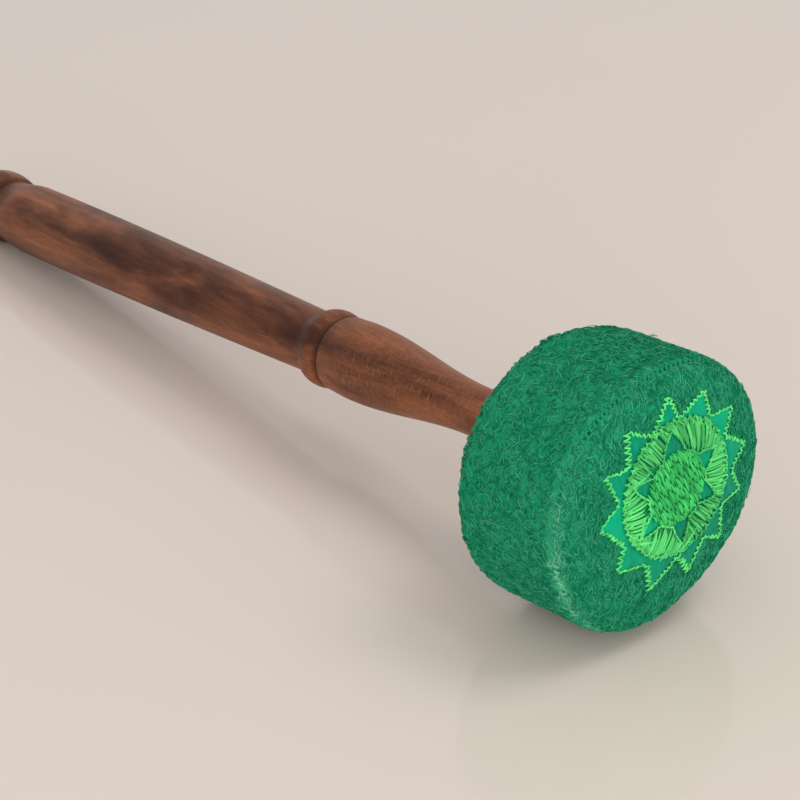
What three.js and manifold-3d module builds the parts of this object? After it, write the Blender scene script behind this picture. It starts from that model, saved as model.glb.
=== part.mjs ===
// Singing bowl mallet: a turned hardwood handle carries a padded drum head under sewn green felt,
// and the face of the head is embroidered with a twelve-petal lotus.
// Lengths are in millimetres and +Z is up. The mallet lies at rest on the rim of its head and on its pommel.
// Each piece is drawn in the turning frame: +Y runs down the handle's axis from the face to the pommel,
// +X points to the right of a person who looks at the face, and +Z points up.
// A distance along the axis is a station.

import * as THREE from 'three';
import { mergeVertices } from 'three/addons/utils/BufferGeometryUtils.js';
import Module from 'manifold-3d';

const wasm = await Module();
wasm.setup();

// Fits
const CLEARANCE = 0.3;
const SEATING_DEPTH = 0.5;

// Head, measured over the felt
const HEAD_DEPTH = 35.4;
const HEAD_FRONT_RADIUS = 34.2;
const HEAD_BACK_RADIUS = 36;
const FRONT_EDGE_RADIUS = 8;
const BACK_EDGE_RADIUS = 4.2;
const FACE_CROWN = 1.8;
const FELT_THICKNESS = 2.6;

// The hand-sewn head is not quite round and sits a little off the handle's axis
const HEAD_SAG = 1.6;
const HEAD_SIDE_SHIFT = -0.4;
const FRONT_OVAL_RISE = 2;
const FRONT_TRIANGLE_RISE = 0.6;
const FRONT_SQUARE_RISE = 0.5;
const BACK_OVAL_RISE = 1.75;
const BACK_TRIANGLE_RISE = 0.45;
const FRONT_OVAL_TURN = 34;
const FRONT_TRIANGLE_TURN = 17;
const FRONT_SQUARE_TURN = -34;
const BACK_OVAL_TURN = -8;
const BACK_TRIANGLE_TURN = -9;

// Seams between the side wall and the two discs: where each lies round its edge, from 0 degrees at the wall
const DISC_ANGLE = 90;
const FRONT_SEAM_ANGLE = 25;
const BACK_SEAM_ANGLE = 50;
const SEAM_BEVEL = 1.4;
const SEAM_THREAD_RADIUS = 0.6;
const SEAM_SEAT_ANGLE = 45;

// Wooden core inside the padding, and the screw that holds it on the handle
const CORE_RADIUS = 22;
const FRONT_PADDING_STEP = 1;
const BACK_PADDING_STEP = 3;
const TENON_RADIUS = 5.5;
const SCREW_SHANK_RADIUS = 1.9;
const SCREW_GRIP_LENGTH = 14;
const SCREW_POINT_LENGTH = 3;
const SCREW_HEAD_RADIUS = 4;
const SCREW_HEAD_HEIGHT = 2.2;
const WASHER_RADIUS = 9;
const WASHER_THICKNESS = 1.5;

// Handle
const NECK_LENGTH = 30.6;
const NECK_RADIUS = 6.7;
const SWELL_LENGTH = 48;
const SWELL_RADIUS = 11;
const SHOULDER_LENGTH = 8.2;
const SHOULDER_RADIUS = 10.7;
const COLLAR_GROOVE_LENGTH = 1;
const COLLAR_LENGTH = 7.6;
const COLLAR_RADIUS = 11.1;
const COLLAR_FOOT_RADIUS = 9.5;
const WAIST_LENGTH = 2.2;
const GRIP_LENGTH = 146.6;
const GRIP_START_RADIUS = 8.9;
const GRIP_RADIUS = 11.2;
const GRIP_END_LENGTH = 15;
const POMMEL_LENGTH = 13.5;
const POMMEL_RADIUS = 11.75;
const POMMEL_FOOT_RADIUS = 9.8;
const BUTT_LENGTH = 9.5;
const BUTT_FLAT_RADIUS = 5;

// Embroidered lotus on the face
const EMBLEM_RIGHT = 0.1;
const EMBLEM_UP = 2.4;
const EMBLEM_TURN = 97;
const PETAL_COUNT = 12;
const STAR_COUNT = 6;
const BORDER_WIDTH = 1.8;
const PATCH_THICKNESS = 0.4;
const THREAD_THICKNESS = 0.5;

// Shares of the face's flat radius, so the lotus grows with the face
const PETAL_TIP_SHARE = 0.954;
const PETAL_LENGTH_SHARE = 0.214;
const RING_NECK_SHARE = 0.08;
const WINDOW_HEIGHT_SHARE = 0.221;

// Fineness of the turned and sewn shapes
const HANDLE_SIDES = 40;
const HEAD_SIDES = 60;
const INNER_SIDES = 36;
const SCREW_SIDES = 16;
const THREAD_SIDES = 6;
const CUTTER_MARGIN = 20;

const radians = THREE.MathUtils.degToRad;
const lerp = THREE.MathUtils.lerp;

// Sizes that follow from the driving ones
const FRONT_FLAT_RADIUS = HEAD_FRONT_RADIUS - FRONT_EDGE_RADIUS;
const BACK_FLAT_RADIUS = HEAD_BACK_RADIUS - BACK_EDGE_RADIUS;
const WALL_FRONT = FRONT_EDGE_RADIUS;
const WALL_BACK = HEAD_DEPTH - BACK_EDGE_RADIUS;
const PADDING_INSET = FELT_THICKNESS + CLEARANCE;
const CORE_FRONT = WALL_FRONT + FRONT_PADDING_STEP;
const CORE_BACK = WALL_BACK - BACK_PADDING_STEP;
const NECK_HOLE_RADIUS = NECK_RADIUS + CLEARANCE;
const PETAL_TIP_RADIUS = FRONT_FLAT_RADIUS * PETAL_TIP_SHARE;
const PETAL_VALLEY_RADIUS = PETAL_TIP_RADIUS - FRONT_FLAT_RADIUS * PETAL_LENGTH_SHARE;
const RING_RADIUS = PETAL_VALLEY_RADIUS - BORDER_WIDTH - CLEARANCE;
const STAR_TIP_RADIUS = RING_RADIUS - FRONT_FLAT_RADIUS * RING_NECK_SHARE;
const CENTRE_RADIUS = STAR_TIP_RADIUS - FRONT_FLAT_RADIUS * WINDOW_HEIGHT_SHARE;

const frontEdge = {
  flatRadius: FRONT_FLAT_RADIUS,
  radius: FRONT_EDGE_RADIUS,
  station: WALL_FRONT,
  facing: -1,
};
const backEdge = {
  flatRadius: BACK_FLAT_RADIUS,
  radius: BACK_EDGE_RADIUS,
  station: WALL_BACK,
  facing: 1,
};

const frontLobes = [
  { count: 2, rise: FRONT_OVAL_RISE, turn: radians(FRONT_OVAL_TURN) },
  { count: 3, rise: FRONT_TRIANGLE_RISE, turn: radians(FRONT_TRIANGLE_TURN) },
  { count: 4, rise: FRONT_SQUARE_RISE, turn: radians(FRONT_SQUARE_TURN) },
];
const backLobes = [
  { count: 2, rise: BACK_OVAL_RISE, turn: radians(BACK_OVAL_TURN) },
  { count: 3, rise: BACK_TRIANGLE_RISE, turn: radians(BACK_TRIANGLE_TURN) },
];

// Materials
function finish(color, roughness, metalness) {
  return new THREE.MeshStandardMaterial({ color, roughness, metalness });
}

const hardwood = finish(0x6f4330, 0.42, 0);
const coreWood = finish(0xb9905f, 0.7, 0);
const wadding = finish(0xe4ddcc, 0.95, 0);
const greenFelt = finish(0x1c8158, 0.95, 0);
const seamYarn = finish(0x2f9c6b, 0.85, 0);
const emeraldSatin = finish(0x0fa06a, 0.45, 0);
const limeThread = finish(0x58cf5c, 0.55, 0);
const deepLimeThread = finish(0x3fb653, 0.55, 0);
const zincSteel = finish(0xb8bcc0, 0.35, 1);

// The head is even at the core and takes its full unevenness at the felt's inner face
function unevenShare(radius) {
  const start = CORE_RADIUS + CLEARANCE;
  const full = Math.max(HEAD_FRONT_RADIUS - PADDING_INSET, start + CLEARANCE);
  return THREE.MathUtils.clamp((radius - start) / (full - start), 0, 1);
}

function lobeRise(lobes, angle) {
  return lobes.reduce((sum, lobe) => sum + lobe.rise * Math.cos(lobe.count * (angle - lobe.turn)), 0);
}

// How far the uneven head moves a point of the round head, seen along the axis
function unevenShift(radius, angle, station) {
  const backShare = THREE.MathUtils.clamp(station / HEAD_DEPTH, 0, 1);
  const rise = lerp(lobeRise(frontLobes, angle), lobeRise(backLobes, angle), backShare);
  const share = unevenShare(radius);
  return {
    x: share * (rise * Math.cos(angle) + HEAD_SIDE_SHIFT),
    z: share * (rise * Math.sin(angle) - HEAD_SAG),
  };
}

function makeUneven(geometry) {
  const position = geometry.getAttribute('position');
  for (let i = 0; i < position.count; i += 1) {
    const x = position.getX(i);
    const z = position.getZ(i);
    const shift = unevenShift(Math.hypot(x, z), Math.atan2(z, x), position.getY(i));
    position.setX(i, x + shift.x);
    position.setZ(i, z + shift.z);
  }
  return geometry;
}

// Outline of the round head, as [radius, station] points that lie inset below the felt's surface
function crownAt(radius) {
  return FACE_CROWN * (1 - (radius / HEAD_FRONT_RADIUS) ** 2);
}

function facePoint(share, inset) {
  const radius = share * FRONT_FLAT_RADIUS;
  return [radius, inset - crownAt(radius)];
}

// A point on the rounded edge at an angle from the wall, moved along the skin by a small step if one is given
function edgePoint(edge, degrees, inset, along = 0) {
  const angle = radians(degrees);
  const reach = Math.max(edge.radius - inset, 0);
  const radius = edge.flatRadius + reach * Math.cos(angle) - along * Math.sin(angle);
  const station = edge.station + edge.facing * (reach * Math.sin(angle) + along * Math.cos(angle));
  return [radius, edge.facing < 0 ? station - crownAt(radius) : station];
}

function edgeArc(edge, fromDegrees, toDegrees, steps, inset) {
  return Array.from({ length: steps + 1 }, (_, i) => {
    const degrees = lerp(fromDegrees, toDegrees, i / steps);
    return edgePoint(edge, degrees, inset);
  });
}

function wallPoint(station, inset) {
  const share = (station - WALL_FRONT) / (WALL_BACK - WALL_FRONT);
  return [lerp(HEAD_FRONT_RADIUS, HEAD_BACK_RADIUS, share) - inset, station];
}

// The felt's lip at a seam, from the foot of its bevel to its inner face, on the wall (-1) or the disc (1)
function seamLip(edge, degrees, side) {
  const halfGap = side * CLEARANCE / 2;
  return [
    edgePoint(edge, degrees, SEAM_BEVEL, halfGap),
    edgePoint(edge, degrees, FELT_THICKNESS, halfGap),
  ];
}

// How many degrees the bevel takes off the edge's arc on each side of a seam
function bevelDegrees(edge) {
  return THREE.MathUtils.radToDeg(Math.asin((SEAM_BEVEL + CLEARANCE / 2) / edge.radius));
}

function revolve(outline, sides) {
  const points = outline.map(([radius, station]) => new THREE.Vector2(radius, station));
  return new THREE.LatheGeometry(points, sides);
}

function closeLoop(outline) {
  return [...outline, outline[0]];
}

function piece(name, geometry, material) {
  const mesh = new THREE.Mesh(geometry, material);
  mesh.name = name;
  return mesh;
}

// Felt cover
function feltSideWallOutline() {
  const frontStart = FRONT_SEAM_ANGLE - bevelDegrees(frontEdge);
  const backEnd = BACK_SEAM_ANGLE - bevelDegrees(backEdge);
  return closeLoop([
    ...edgeArc(frontEdge, frontStart, 0, 1, 0),
    wallPoint(lerp(WALL_FRONT, WALL_BACK, 0.5), 0),
    ...edgeArc(backEdge, 0, backEnd, 2, 0),
    ...seamLip(backEdge, BACK_SEAM_ANGLE, -1),
    edgePoint(backEdge, 0, FELT_THICKNESS),
    edgePoint(frontEdge, 0, FELT_THICKNESS),
    ...seamLip(frontEdge, FRONT_SEAM_ANGLE, -1).reverse(),
  ]);
}

function feltFrontDiscOutline() {
  const outerEnd = FRONT_SEAM_ANGLE + bevelDegrees(frontEdge);
  return [
    facePoint(0, 0),
    facePoint(1 / 3, 0),
    facePoint(2 / 3, 0),
    ...edgeArc(frontEdge, DISC_ANGLE, outerEnd, 4, 0),
    ...seamLip(frontEdge, FRONT_SEAM_ANGLE, 1),
    ...edgeArc(frontEdge, lerp(FRONT_SEAM_ANGLE, DISC_ANGLE, 0.5), DISC_ANGLE, 1, FELT_THICKNESS),
    facePoint(1 / 2, FELT_THICKNESS),
    facePoint(0, FELT_THICKNESS),
  ];
}

function feltBackDiscOutline() {
  const outerEnd = BACK_SEAM_ANGLE + bevelDegrees(backEdge);
  return closeLoop([
    [NECK_HOLE_RADIUS, HEAD_DEPTH - FELT_THICKNESS],
    [CORE_RADIUS, HEAD_DEPTH - FELT_THICKNESS],
    edgePoint(backEdge, DISC_ANGLE, FELT_THICKNESS),
    ...seamLip(backEdge, BACK_SEAM_ANGLE, 1).reverse(),
    ...edgeArc(backEdge, outerEnd, DISC_ANGLE, 1, 0),
    [CORE_RADIUS, HEAD_DEPTH],
    [NECK_HOLE_RADIUS, HEAD_DEPTH],
  ]);
}

// Round yarn that lies in the V between the two bevelled lips of a seam
function seamThreadOutline(edge, degrees) {
  const restHeight = (SEAM_THREAD_RADIUS + CLEARANCE) / Math.sin(radians(SEAM_SEAT_ANGLE));
  const inset = SEAM_BEVEL + CLEARANCE / 2 - restHeight;
  const [centreRadius, centreStation] = edgePoint(edge, degrees, inset);
  const ring = Array.from({ length: THREAD_SIDES }, (_, i) => {
    const turn = 2 * Math.PI * i / THREAD_SIDES;
    const outward = SEAM_THREAD_RADIUS * Math.cos(turn);
    const backward = SEAM_THREAD_RADIUS * Math.sin(turn);
    return [centreRadius + outward, centreStation + backward];
  });
  return closeLoop(ring);
}

// Padding under the felt
function frontPaddingOutline() {
  const back = CORE_FRONT - CLEARANCE;
  return [
    facePoint(0, PADDING_INSET),
    facePoint(1 / 2, PADDING_INSET),
    ...edgeArc(frontEdge, DISC_ANGLE, 0, 3, PADDING_INSET),
    wallPoint(back, PADDING_INSET),
    [CORE_RADIUS, back],
    [0, back],
  ];
}

function sidePaddingOutline() {
  const innerRadius = CORE_RADIUS + CLEARANCE;
  return closeLoop([
    [innerRadius, CORE_FRONT],
    wallPoint(CORE_FRONT, PADDING_INSET),
    wallPoint(CORE_BACK, PADDING_INSET),
    [innerRadius, CORE_BACK],
  ]);
}

function backPaddingOutline() {
  const front = CORE_BACK + CLEARANCE;
  return closeLoop([
    [NECK_HOLE_RADIUS, front],
    [CORE_RADIUS, front],
    wallPoint(front, PADDING_INSET),
    ...edgeArc(backEdge, 0, DISC_ANGLE, 2, PADDING_INSET),
    [CORE_RADIUS, HEAD_DEPTH - PADDING_INSET],
    [NECK_HOLE_RADIUS, HEAD_DEPTH - PADDING_INSET],
  ]);
}

// Core, screw and washer: the screw's head and the washer are sunk in the front of the core
const WASHER_SEAT = CORE_FRONT + SCREW_HEAD_HEIGHT + WASHER_THICKNESS + 2 * CLEARANCE;
const WASHER_BACK = WASHER_SEAT - CLEARANCE;
const WASHER_FRONT = WASHER_BACK - WASHER_THICKNESS;
const SCREW_HEAD_BACK = WASHER_FRONT - CLEARANCE;
const TENON_FRONT = WASHER_SEAT;
const SCREW_TIP = TENON_FRONT + SCREW_GRIP_LENGTH;

function coreOutline() {
  const boreRadius = TENON_RADIUS + CLEARANCE;
  const recessRadius = WASHER_RADIUS + CLEARANCE;
  return closeLoop([
    [recessRadius, CORE_FRONT],
    [CORE_RADIUS, CORE_FRONT],
    [CORE_RADIUS, CORE_BACK],
    [boreRadius, CORE_BACK],
    [boreRadius, WASHER_SEAT],
    [recessRadius, WASHER_SEAT],
  ]);
}

function washerOutline() {
  const holeRadius = SCREW_SHANK_RADIUS + CLEARANCE;
  return closeLoop([
    [holeRadius, WASHER_FRONT],
    [WASHER_RADIUS, WASHER_FRONT],
    [WASHER_RADIUS, WASHER_BACK],
    [holeRadius, WASHER_BACK],
  ]);
}

function screwOutline() {
  const domeRadiusShare = 0.7;
  const domeHeightShare = 0.35;
  return [
    [0, CORE_FRONT],
    [SCREW_HEAD_RADIUS * domeRadiusShare, CORE_FRONT],
    [SCREW_HEAD_RADIUS, CORE_FRONT + SCREW_HEAD_HEIGHT * domeHeightShare],
    [SCREW_HEAD_RADIUS, SCREW_HEAD_BACK],
    [SCREW_SHANK_RADIUS, SCREW_HEAD_BACK],
    [SCREW_SHANK_RADIUS, SCREW_TIP - SCREW_POINT_LENGTH],
    [0, SCREW_TIP],
  ];
}

// Handle: tenon, neck, swell, collar bead, grip and pommel, in one turned piece
function easedStretch(start, length, startRadius, endRadius, steps) {
  return Array.from({ length: steps }, (_, i) => {
    const share = (i + 1) / steps;
    const eased = (1 - Math.cos(Math.PI * share)) / 2;
    return [lerp(startRadius, endRadius, eased), start + length * share];
  });
}

// Round end of the swell, which drops into the groove beside the collar
function shoulderEdge(end, steps) {
  const drop = SHOULDER_RADIUS - COLLAR_FOOT_RADIUS;
  return Array.from({ length: steps }, (_, i) => {
    const turn = Math.PI / 2 * (i + 1) / steps;
    return [lerp(COLLAR_FOOT_RADIUS, SHOULDER_RADIUS, Math.cos(turn)), end - drop * (1 - Math.sin(turn))];
  });
}

function beadStretch(start, length, footRadius, peakRadius, steps) {
  return Array.from({ length: steps + 1 }, (_, i) => {
    const turn = Math.PI * i / steps;
    const share = (1 - Math.cos(turn)) / 2;
    return [lerp(footRadius, peakRadius, Math.sin(turn)), start + length * share];
  });
}

function gripStretch(start, steps) {
  return Array.from({ length: steps + 1 }, (_, i) => {
    const share = i / steps;
    return [lerp(GRIP_START_RADIUS, GRIP_RADIUS, Math.sin(Math.PI / 2 * share)), start + GRIP_LENGTH * share];
  });
}

function buttDome(start, steps) {
  return Array.from({ length: steps + 1 }, (_, i) => {
    const turn = Math.PI / 2 * i / steps;
    return [lerp(BUTT_FLAT_RADIUS, POMMEL_FOOT_RADIUS, Math.cos(turn)), start + BUTT_LENGTH * Math.sin(turn)];
  });
}

const SWELL_START = HEAD_DEPTH + NECK_LENGTH;
const SWELL_PEAK = SWELL_START + SWELL_LENGTH;
const SHOULDER_END = SWELL_PEAK + SHOULDER_LENGTH;
const COLLAR_START = SHOULDER_END + COLLAR_GROOVE_LENGTH;
const GRIP_START = COLLAR_START + COLLAR_LENGTH + WAIST_LENGTH;
const GRIP_PEAK = GRIP_START + GRIP_LENGTH;
const POMMEL_START = GRIP_PEAK + GRIP_END_LENGTH;
const BUTT_START = POMMEL_START + POMMEL_LENGTH;

function handleOutline() {
  const pilotRadius = SCREW_SHANK_RADIUS + CLEARANCE;
  const shoulder = CORE_BACK + CLEARANCE;
  const shoulderSlope = SHOULDER_LENGTH - SHOULDER_RADIUS + COLLAR_FOOT_RADIUS;
  return [
    [0, SCREW_TIP + CLEARANCE],
    [pilotRadius, SCREW_TIP + CLEARANCE],
    [pilotRadius, TENON_FRONT],
    [TENON_RADIUS, TENON_FRONT],
    [TENON_RADIUS, shoulder],
    [NECK_RADIUS, shoulder],
    [NECK_RADIUS, SWELL_START],
    ...easedStretch(SWELL_START, SWELL_LENGTH, NECK_RADIUS, SWELL_RADIUS, 8),
    ...easedStretch(SWELL_PEAK, shoulderSlope, SWELL_RADIUS, SHOULDER_RADIUS, 3),
    ...shoulderEdge(SHOULDER_END, 3),
    ...beadStretch(COLLAR_START, COLLAR_LENGTH, COLLAR_FOOT_RADIUS, COLLAR_RADIUS, 8),
    ...gripStretch(GRIP_START, 6),
    ...easedStretch(GRIP_PEAK, GRIP_END_LENGTH, GRIP_RADIUS, POMMEL_FOOT_RADIUS, 4),
    ...beadStretch(POMMEL_START, POMMEL_LENGTH, POMMEL_FOOT_RADIUS, POMMEL_RADIUS, 8).slice(1),
    ...buttDome(BUTT_START, 4).slice(1),
    [0, BUTT_START + BUTT_LENGTH],
  ];
}

// Embroidery plates follow the face, each between an inner and an outer radius round the emblem's centre
function frontSkinStation(radius) {
  const past = THREE.MathUtils.clamp(radius - FRONT_FLAT_RADIUS, 0, FRONT_EDGE_RADIUS);
  return FRONT_EDGE_RADIUS - Math.sqrt(FRONT_EDGE_RADIUS ** 2 - past ** 2) - crownAt(radius);
}

// Station of the felt's uneven front at a point seen along the axis
function faceStationAt(x, z) {
  const settleRounds = 16;
  const even = { x, z };
  for (let round = 0; round < settleRounds; round += 1) {
    const shift = unevenShift(Math.hypot(even.x, even.z), Math.atan2(even.z, even.x), 0);
    even.x = x - shift.x;
    even.z = z - shift.z;
  }
  return frontSkinStation(Math.hypot(even.x, even.z));
}

function emblemPoint(radius, angle, lift) {
  const x = EMBLEM_RIGHT + radius * Math.cos(angle);
  const z = EMBLEM_UP + radius * Math.sin(angle);
  return [x, faceStationAt(x, z) - lift, z];
}

// innerAt and outerAt give radii at a share of the sweep, and an inner radius of zero closes the centre
function facePlate({ innerAt, outerAt, start, sweep, steps, ringShares, lift, thickness }) {
  const whole = sweep >= 2 * Math.PI;
  const columns = whole ? steps : steps + 1;
  const solidCentre = innerAt(0) === 0;
  const vertices = [];
  const faces = [];
  const layers = [lift + thickness, lift];
  const rings = ringShares.length;
  const index = (layer, ring, column) => (layer * rings + ring) * columns + column % columns;
  const addQuad = (a, b, c, d) => faces.push(a, b, c, a, c, d);
  for (const height of layers) {
    for (const ringShare of ringShares) {
      for (let column = 0; column < columns; column += 1) {
        const share = column / steps;
        const radius = lerp(innerAt(share), outerAt(share), ringShare);
        vertices.push(...emblemPoint(radius, start + sweep * share, height));
      }
    }
  }
  for (let column = 0; column < steps; column += 1) {
    const next = column + 1;
    for (let ring = 0; ring < rings - 1; ring += 1) {
      const out = ring + 1;
      addQuad(index(0, ring, column), index(0, out, column), index(0, out, next), index(0, ring, next));
      addQuad(index(1, ring, column), index(1, ring, next), index(1, out, next), index(1, out, column));
    }
    const rim = rings - 1;
    addQuad(index(0, rim, column), index(1, rim, column), index(1, rim, next), index(0, rim, next));
    if (!solidCentre) addQuad(index(0, 0, column), index(0, 0, next), index(1, 0, next), index(1, 0, column));
  }
  if (solidCentre) {
    const middle = vertices.length / 3;
    vertices.push(...emblemPoint(0, 0, layers[0]), ...emblemPoint(0, 0, layers[1]));
    for (let column = 0; column < steps; column += 1) {
      faces.push(middle, index(0, 0, column), index(0, 0, column + 1));
      faces.push(middle + 1, index(1, 0, column + 1), index(1, 0, column));
    }
  }
  if (!whole) {
    for (let ring = 0; ring < rings - 1; ring += 1) {
      const out = ring + 1;
      addQuad(index(0, ring, 0), index(1, ring, 0), index(1, out, 0), index(0, out, 0));
      addQuad(index(0, ring, steps), index(0, out, steps), index(1, out, steps), index(1, ring, steps));
    }
  }
  const geometry = new THREE.BufferGeometry();
  geometry.setAttribute('position', new THREE.Float32BufferAttribute(vertices, 3));
  geometry.setIndex(faces);
  return geometry;
}

// Each pointed petal leans: the valley after its tip lies at this share of the petal's turn
const VALLEY_TURN_SHARE = 0.6;

// Outer edge of the lotus, from tip to valley to tip in straight stretches
function petalEdgeAt(share) {
  const turn = share * PETAL_COUNT;
  const pastTip = turn - Math.floor(turn + Number.EPSILON * PETAL_COUNT);
  const falling = pastTip / VALLEY_TURN_SHARE;
  const rising = (1 - pastTip) / (1 - VALLEY_TURN_SHARE);
  return lerp(PETAL_TIP_RADIUS, PETAL_VALLEY_RADIUS, Math.min(falling, rising));
}

const EMBLEM_START = radians(EMBLEM_TURN);
const PATCH_LIFT = CLEARANCE;
const FILL_LIFT = PATCH_LIFT + PATCH_THICKNESS + CLEARANCE;
const STEPS_PER_PETAL = 10;
const WHOLE_TURN = 2 * Math.PI;

function lotusPatch() {
  const margin = BORDER_WIDTH + CLEARANCE;
  return facePlate({
    innerAt: () => 0,
    outerAt: (share) => petalEdgeAt(share) - margin,
    start: EMBLEM_START,
    sweep: WHOLE_TURN,
    steps: PETAL_COUNT * STEPS_PER_PETAL,
    ringShares: [0.6, 0.8, 1],
    lift: PATCH_LIFT,
    thickness: PATCH_THICKNESS,
  });
}

function lotusBorder() {
  return facePlate({
    innerAt: (share) => petalEdgeAt(share) - BORDER_WIDTH,
    outerAt: petalEdgeAt,
    start: EMBLEM_START,
    sweep: WHOLE_TURN,
    steps: PETAL_COUNT * STEPS_PER_PETAL,
    ringShares: [0, 0.5, 1],
    lift: PATCH_LIFT,
    thickness: PATCH_THICKNESS + THREAD_THICKNESS,
  });
}

// One of the six stitched fields between two windows of the star, narrow at its ends and deep in its middle
function ringFill(number) {
  const field = WHOLE_TURN / STAR_COUNT;
  const endGap = CLEARANCE / STAR_TIP_RADIUS;
  const innerMiddleRadius = CENTRE_RADIUS + CLEARANCE;
  return facePlate({
    innerAt: (share) => lerp(innerMiddleRadius, STAR_TIP_RADIUS, Math.abs(2 * share - 1)),
    outerAt: () => RING_RADIUS,
    start: EMBLEM_START + (number - 1) * field + endGap / 2,
    sweep: field - endGap,
    steps: 6,
    ringShares: [0, 0.5, 1],
    lift: FILL_LIFT,
    thickness: THREAD_THICKNESS,
  });
}

function centreFill() {
  return facePlate({
    innerAt: () => 0,
    outerAt: () => CENTRE_RADIUS,
    start: EMBLEM_START,
    sweep: WHOLE_TURN,
    steps: 24,
    ringShares: [0.6, 1],
    lift: FILL_LIFT,
    thickness: THREAD_THICKNESS,
  });
}

// The mallet lies with the back rim of its head and its lowest handle point on one level
const headLowRadius = BACK_FLAT_RADIUS - unevenShift(HEAD_BACK_RADIUS, -Math.PI / 2, WALL_BACK).z;
const lyingReach = BACK_EDGE_RADIUS - SEATING_DEPTH;

function tiltToTouch([radius, station]) {
  const drop = headLowRadius - radius;
  const run = station - WALL_BACK;
  return Math.atan2(drop, run) + Math.asin(lyingReach / Math.hypot(drop, run));
}

const tilt = Math.min(...handleOutline().filter(([, station]) => station > SWELL_START).map(tiltToTouch));
const axisHeight = headLowRadius * Math.cos(tilt) + WALL_BACK * Math.sin(tilt) + lyingReach;

const mallet = new THREE.Group();
const lying = new THREE.Group();
const turning = new THREE.Group();
mallet.add(lying);
lying.add(turning);
lying.rotation.y = -tilt;
lying.position.z = axisHeight;
turning.rotation.z = Math.PI / 2;
mallet.updateMatrixWorld(true);

// Flat that the mallet's weight presses into the felt: everything below the level it lies on is taken away
function toManifold(geometry) {
  const bare = geometry.clone();
  bare.deleteAttribute('normal');
  bare.deleteAttribute('uv');
  const merged = mergeVertices(bare);
  return new wasm.Manifold(new wasm.Mesh({
    numProp: 3,
    vertProperties: merged.getAttribute('position').array,
    triVerts: Uint32Array.from(merged.getIndex().array),
  }));
}

function fromManifold(solid) {
  const mesh = solid.getMesh();
  const geometry = new THREE.BufferGeometry();
  geometry.setAttribute('position', new THREE.Float32BufferAttribute(mesh.vertProperties, 3));
  geometry.setIndex([...mesh.triVerts]);
  return geometry;
}

function pressFlat(geometry) {
  const side = 2 * HEAD_BACK_RADIUS + CUTTER_MARGIN;
  const cutter = new THREE.BoxGeometry(side, side, CUTTER_MARGIN);
  cutter.translate(-HEAD_DEPTH, 0, -CUTTER_MARGIN / 2);
  cutter.applyMatrix4(turning.matrixWorld.clone().invert());
  return fromManifold(toManifold(geometry).subtract(toManifold(cutter)));
}

function headPiece(name, outline, sides, material) {
  return piece(name, makeUneven(revolve(outline, sides)), material);
}

const feltSideWall = makeUneven(revolve(feltSideWallOutline(), HEAD_SIDES));

turning.add(
  piece('handle', revolve(handleOutline(), HANDLE_SIDES), hardwood),
  piece('core_drum', revolve(coreOutline(), INNER_SIDES), coreWood),
  piece('core_washer', revolve(washerOutline(), INNER_SIDES), zincSteel),
  piece('core_screw', revolve(screwOutline(), SCREW_SIDES), zincSteel),
  headPiece('front_padding', frontPaddingOutline(), INNER_SIDES, wadding),
  headPiece('side_padding', sidePaddingOutline(), INNER_SIDES, wadding),
  headPiece('back_padding', backPaddingOutline(), INNER_SIDES, wadding),
  piece('felt_side_wall', pressFlat(feltSideWall), greenFelt),
  headPiece('felt_front_disc', feltFrontDiscOutline(), HEAD_SIDES, greenFelt),
  headPiece('felt_back_disc', feltBackDiscOutline(), HEAD_SIDES, greenFelt),
  headPiece('front_seam_thread', seamThreadOutline(frontEdge, FRONT_SEAM_ANGLE), HEAD_SIDES, seamYarn),
  headPiece('back_seam_thread', seamThreadOutline(backEdge, BACK_SEAM_ANGLE), HEAD_SIDES, seamYarn),
  piece('lotus_patch', lotusPatch(), emeraldSatin),
  piece('lotus_border', lotusBorder(), limeThread),
  piece('centre_fill', centreFill(), deepLimeThread),
);

for (let number = 1; number <= STAR_COUNT; number += 1) {
  turning.add(piece(`ring_fill_${number}`, ringFill(number), limeThread));
}

// The origin stands at the bottom centre of the whole mallet
mallet.updateMatrixWorld(true);
const bounds = new THREE.Box3().setFromObject(mallet, true);
const centre = bounds.getCenter(new THREE.Vector3());
mallet.position.set(-centre.x, -centre.y, -bounds.min.z);
mallet.updateMatrixWorld(true);

export default mallet;
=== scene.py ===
"""Looks of a singing bowl mallet: turned hardwood handle, hand-sewn wool felt head, embroidered lotus.

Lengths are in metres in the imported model's frame. Each piece is drawn in the turning frame of the handle:
a station runs down the axis from the face to the pommel, x points right and z up as the face is seen.
"""

import math
from functools import partial

import bpy
import numpy as np
from bpy.props import FloatProperty, FloatVectorProperty, IntProperty, PointerProperty
from bpy.types import Operator, Panel, PropertyGroup
from mathutils import Euler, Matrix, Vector


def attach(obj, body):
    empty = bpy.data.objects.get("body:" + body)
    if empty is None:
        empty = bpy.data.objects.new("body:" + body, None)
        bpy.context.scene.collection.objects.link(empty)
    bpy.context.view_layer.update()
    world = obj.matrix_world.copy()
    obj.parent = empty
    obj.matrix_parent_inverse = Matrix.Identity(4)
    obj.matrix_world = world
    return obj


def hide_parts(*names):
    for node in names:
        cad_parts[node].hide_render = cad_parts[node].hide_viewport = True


bl_info = {
    "name": "Singing Bowl Mallet", "version": (1, 0, 0), "blender": (4, 5, 0),
    "location": "3D View > Sidebar > Mallet",
    "description": "Dresses a mallet: turned hardwood, sewn wool felt and an embroidered lotus",
    "category": "Add Mesh",
}

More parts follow.
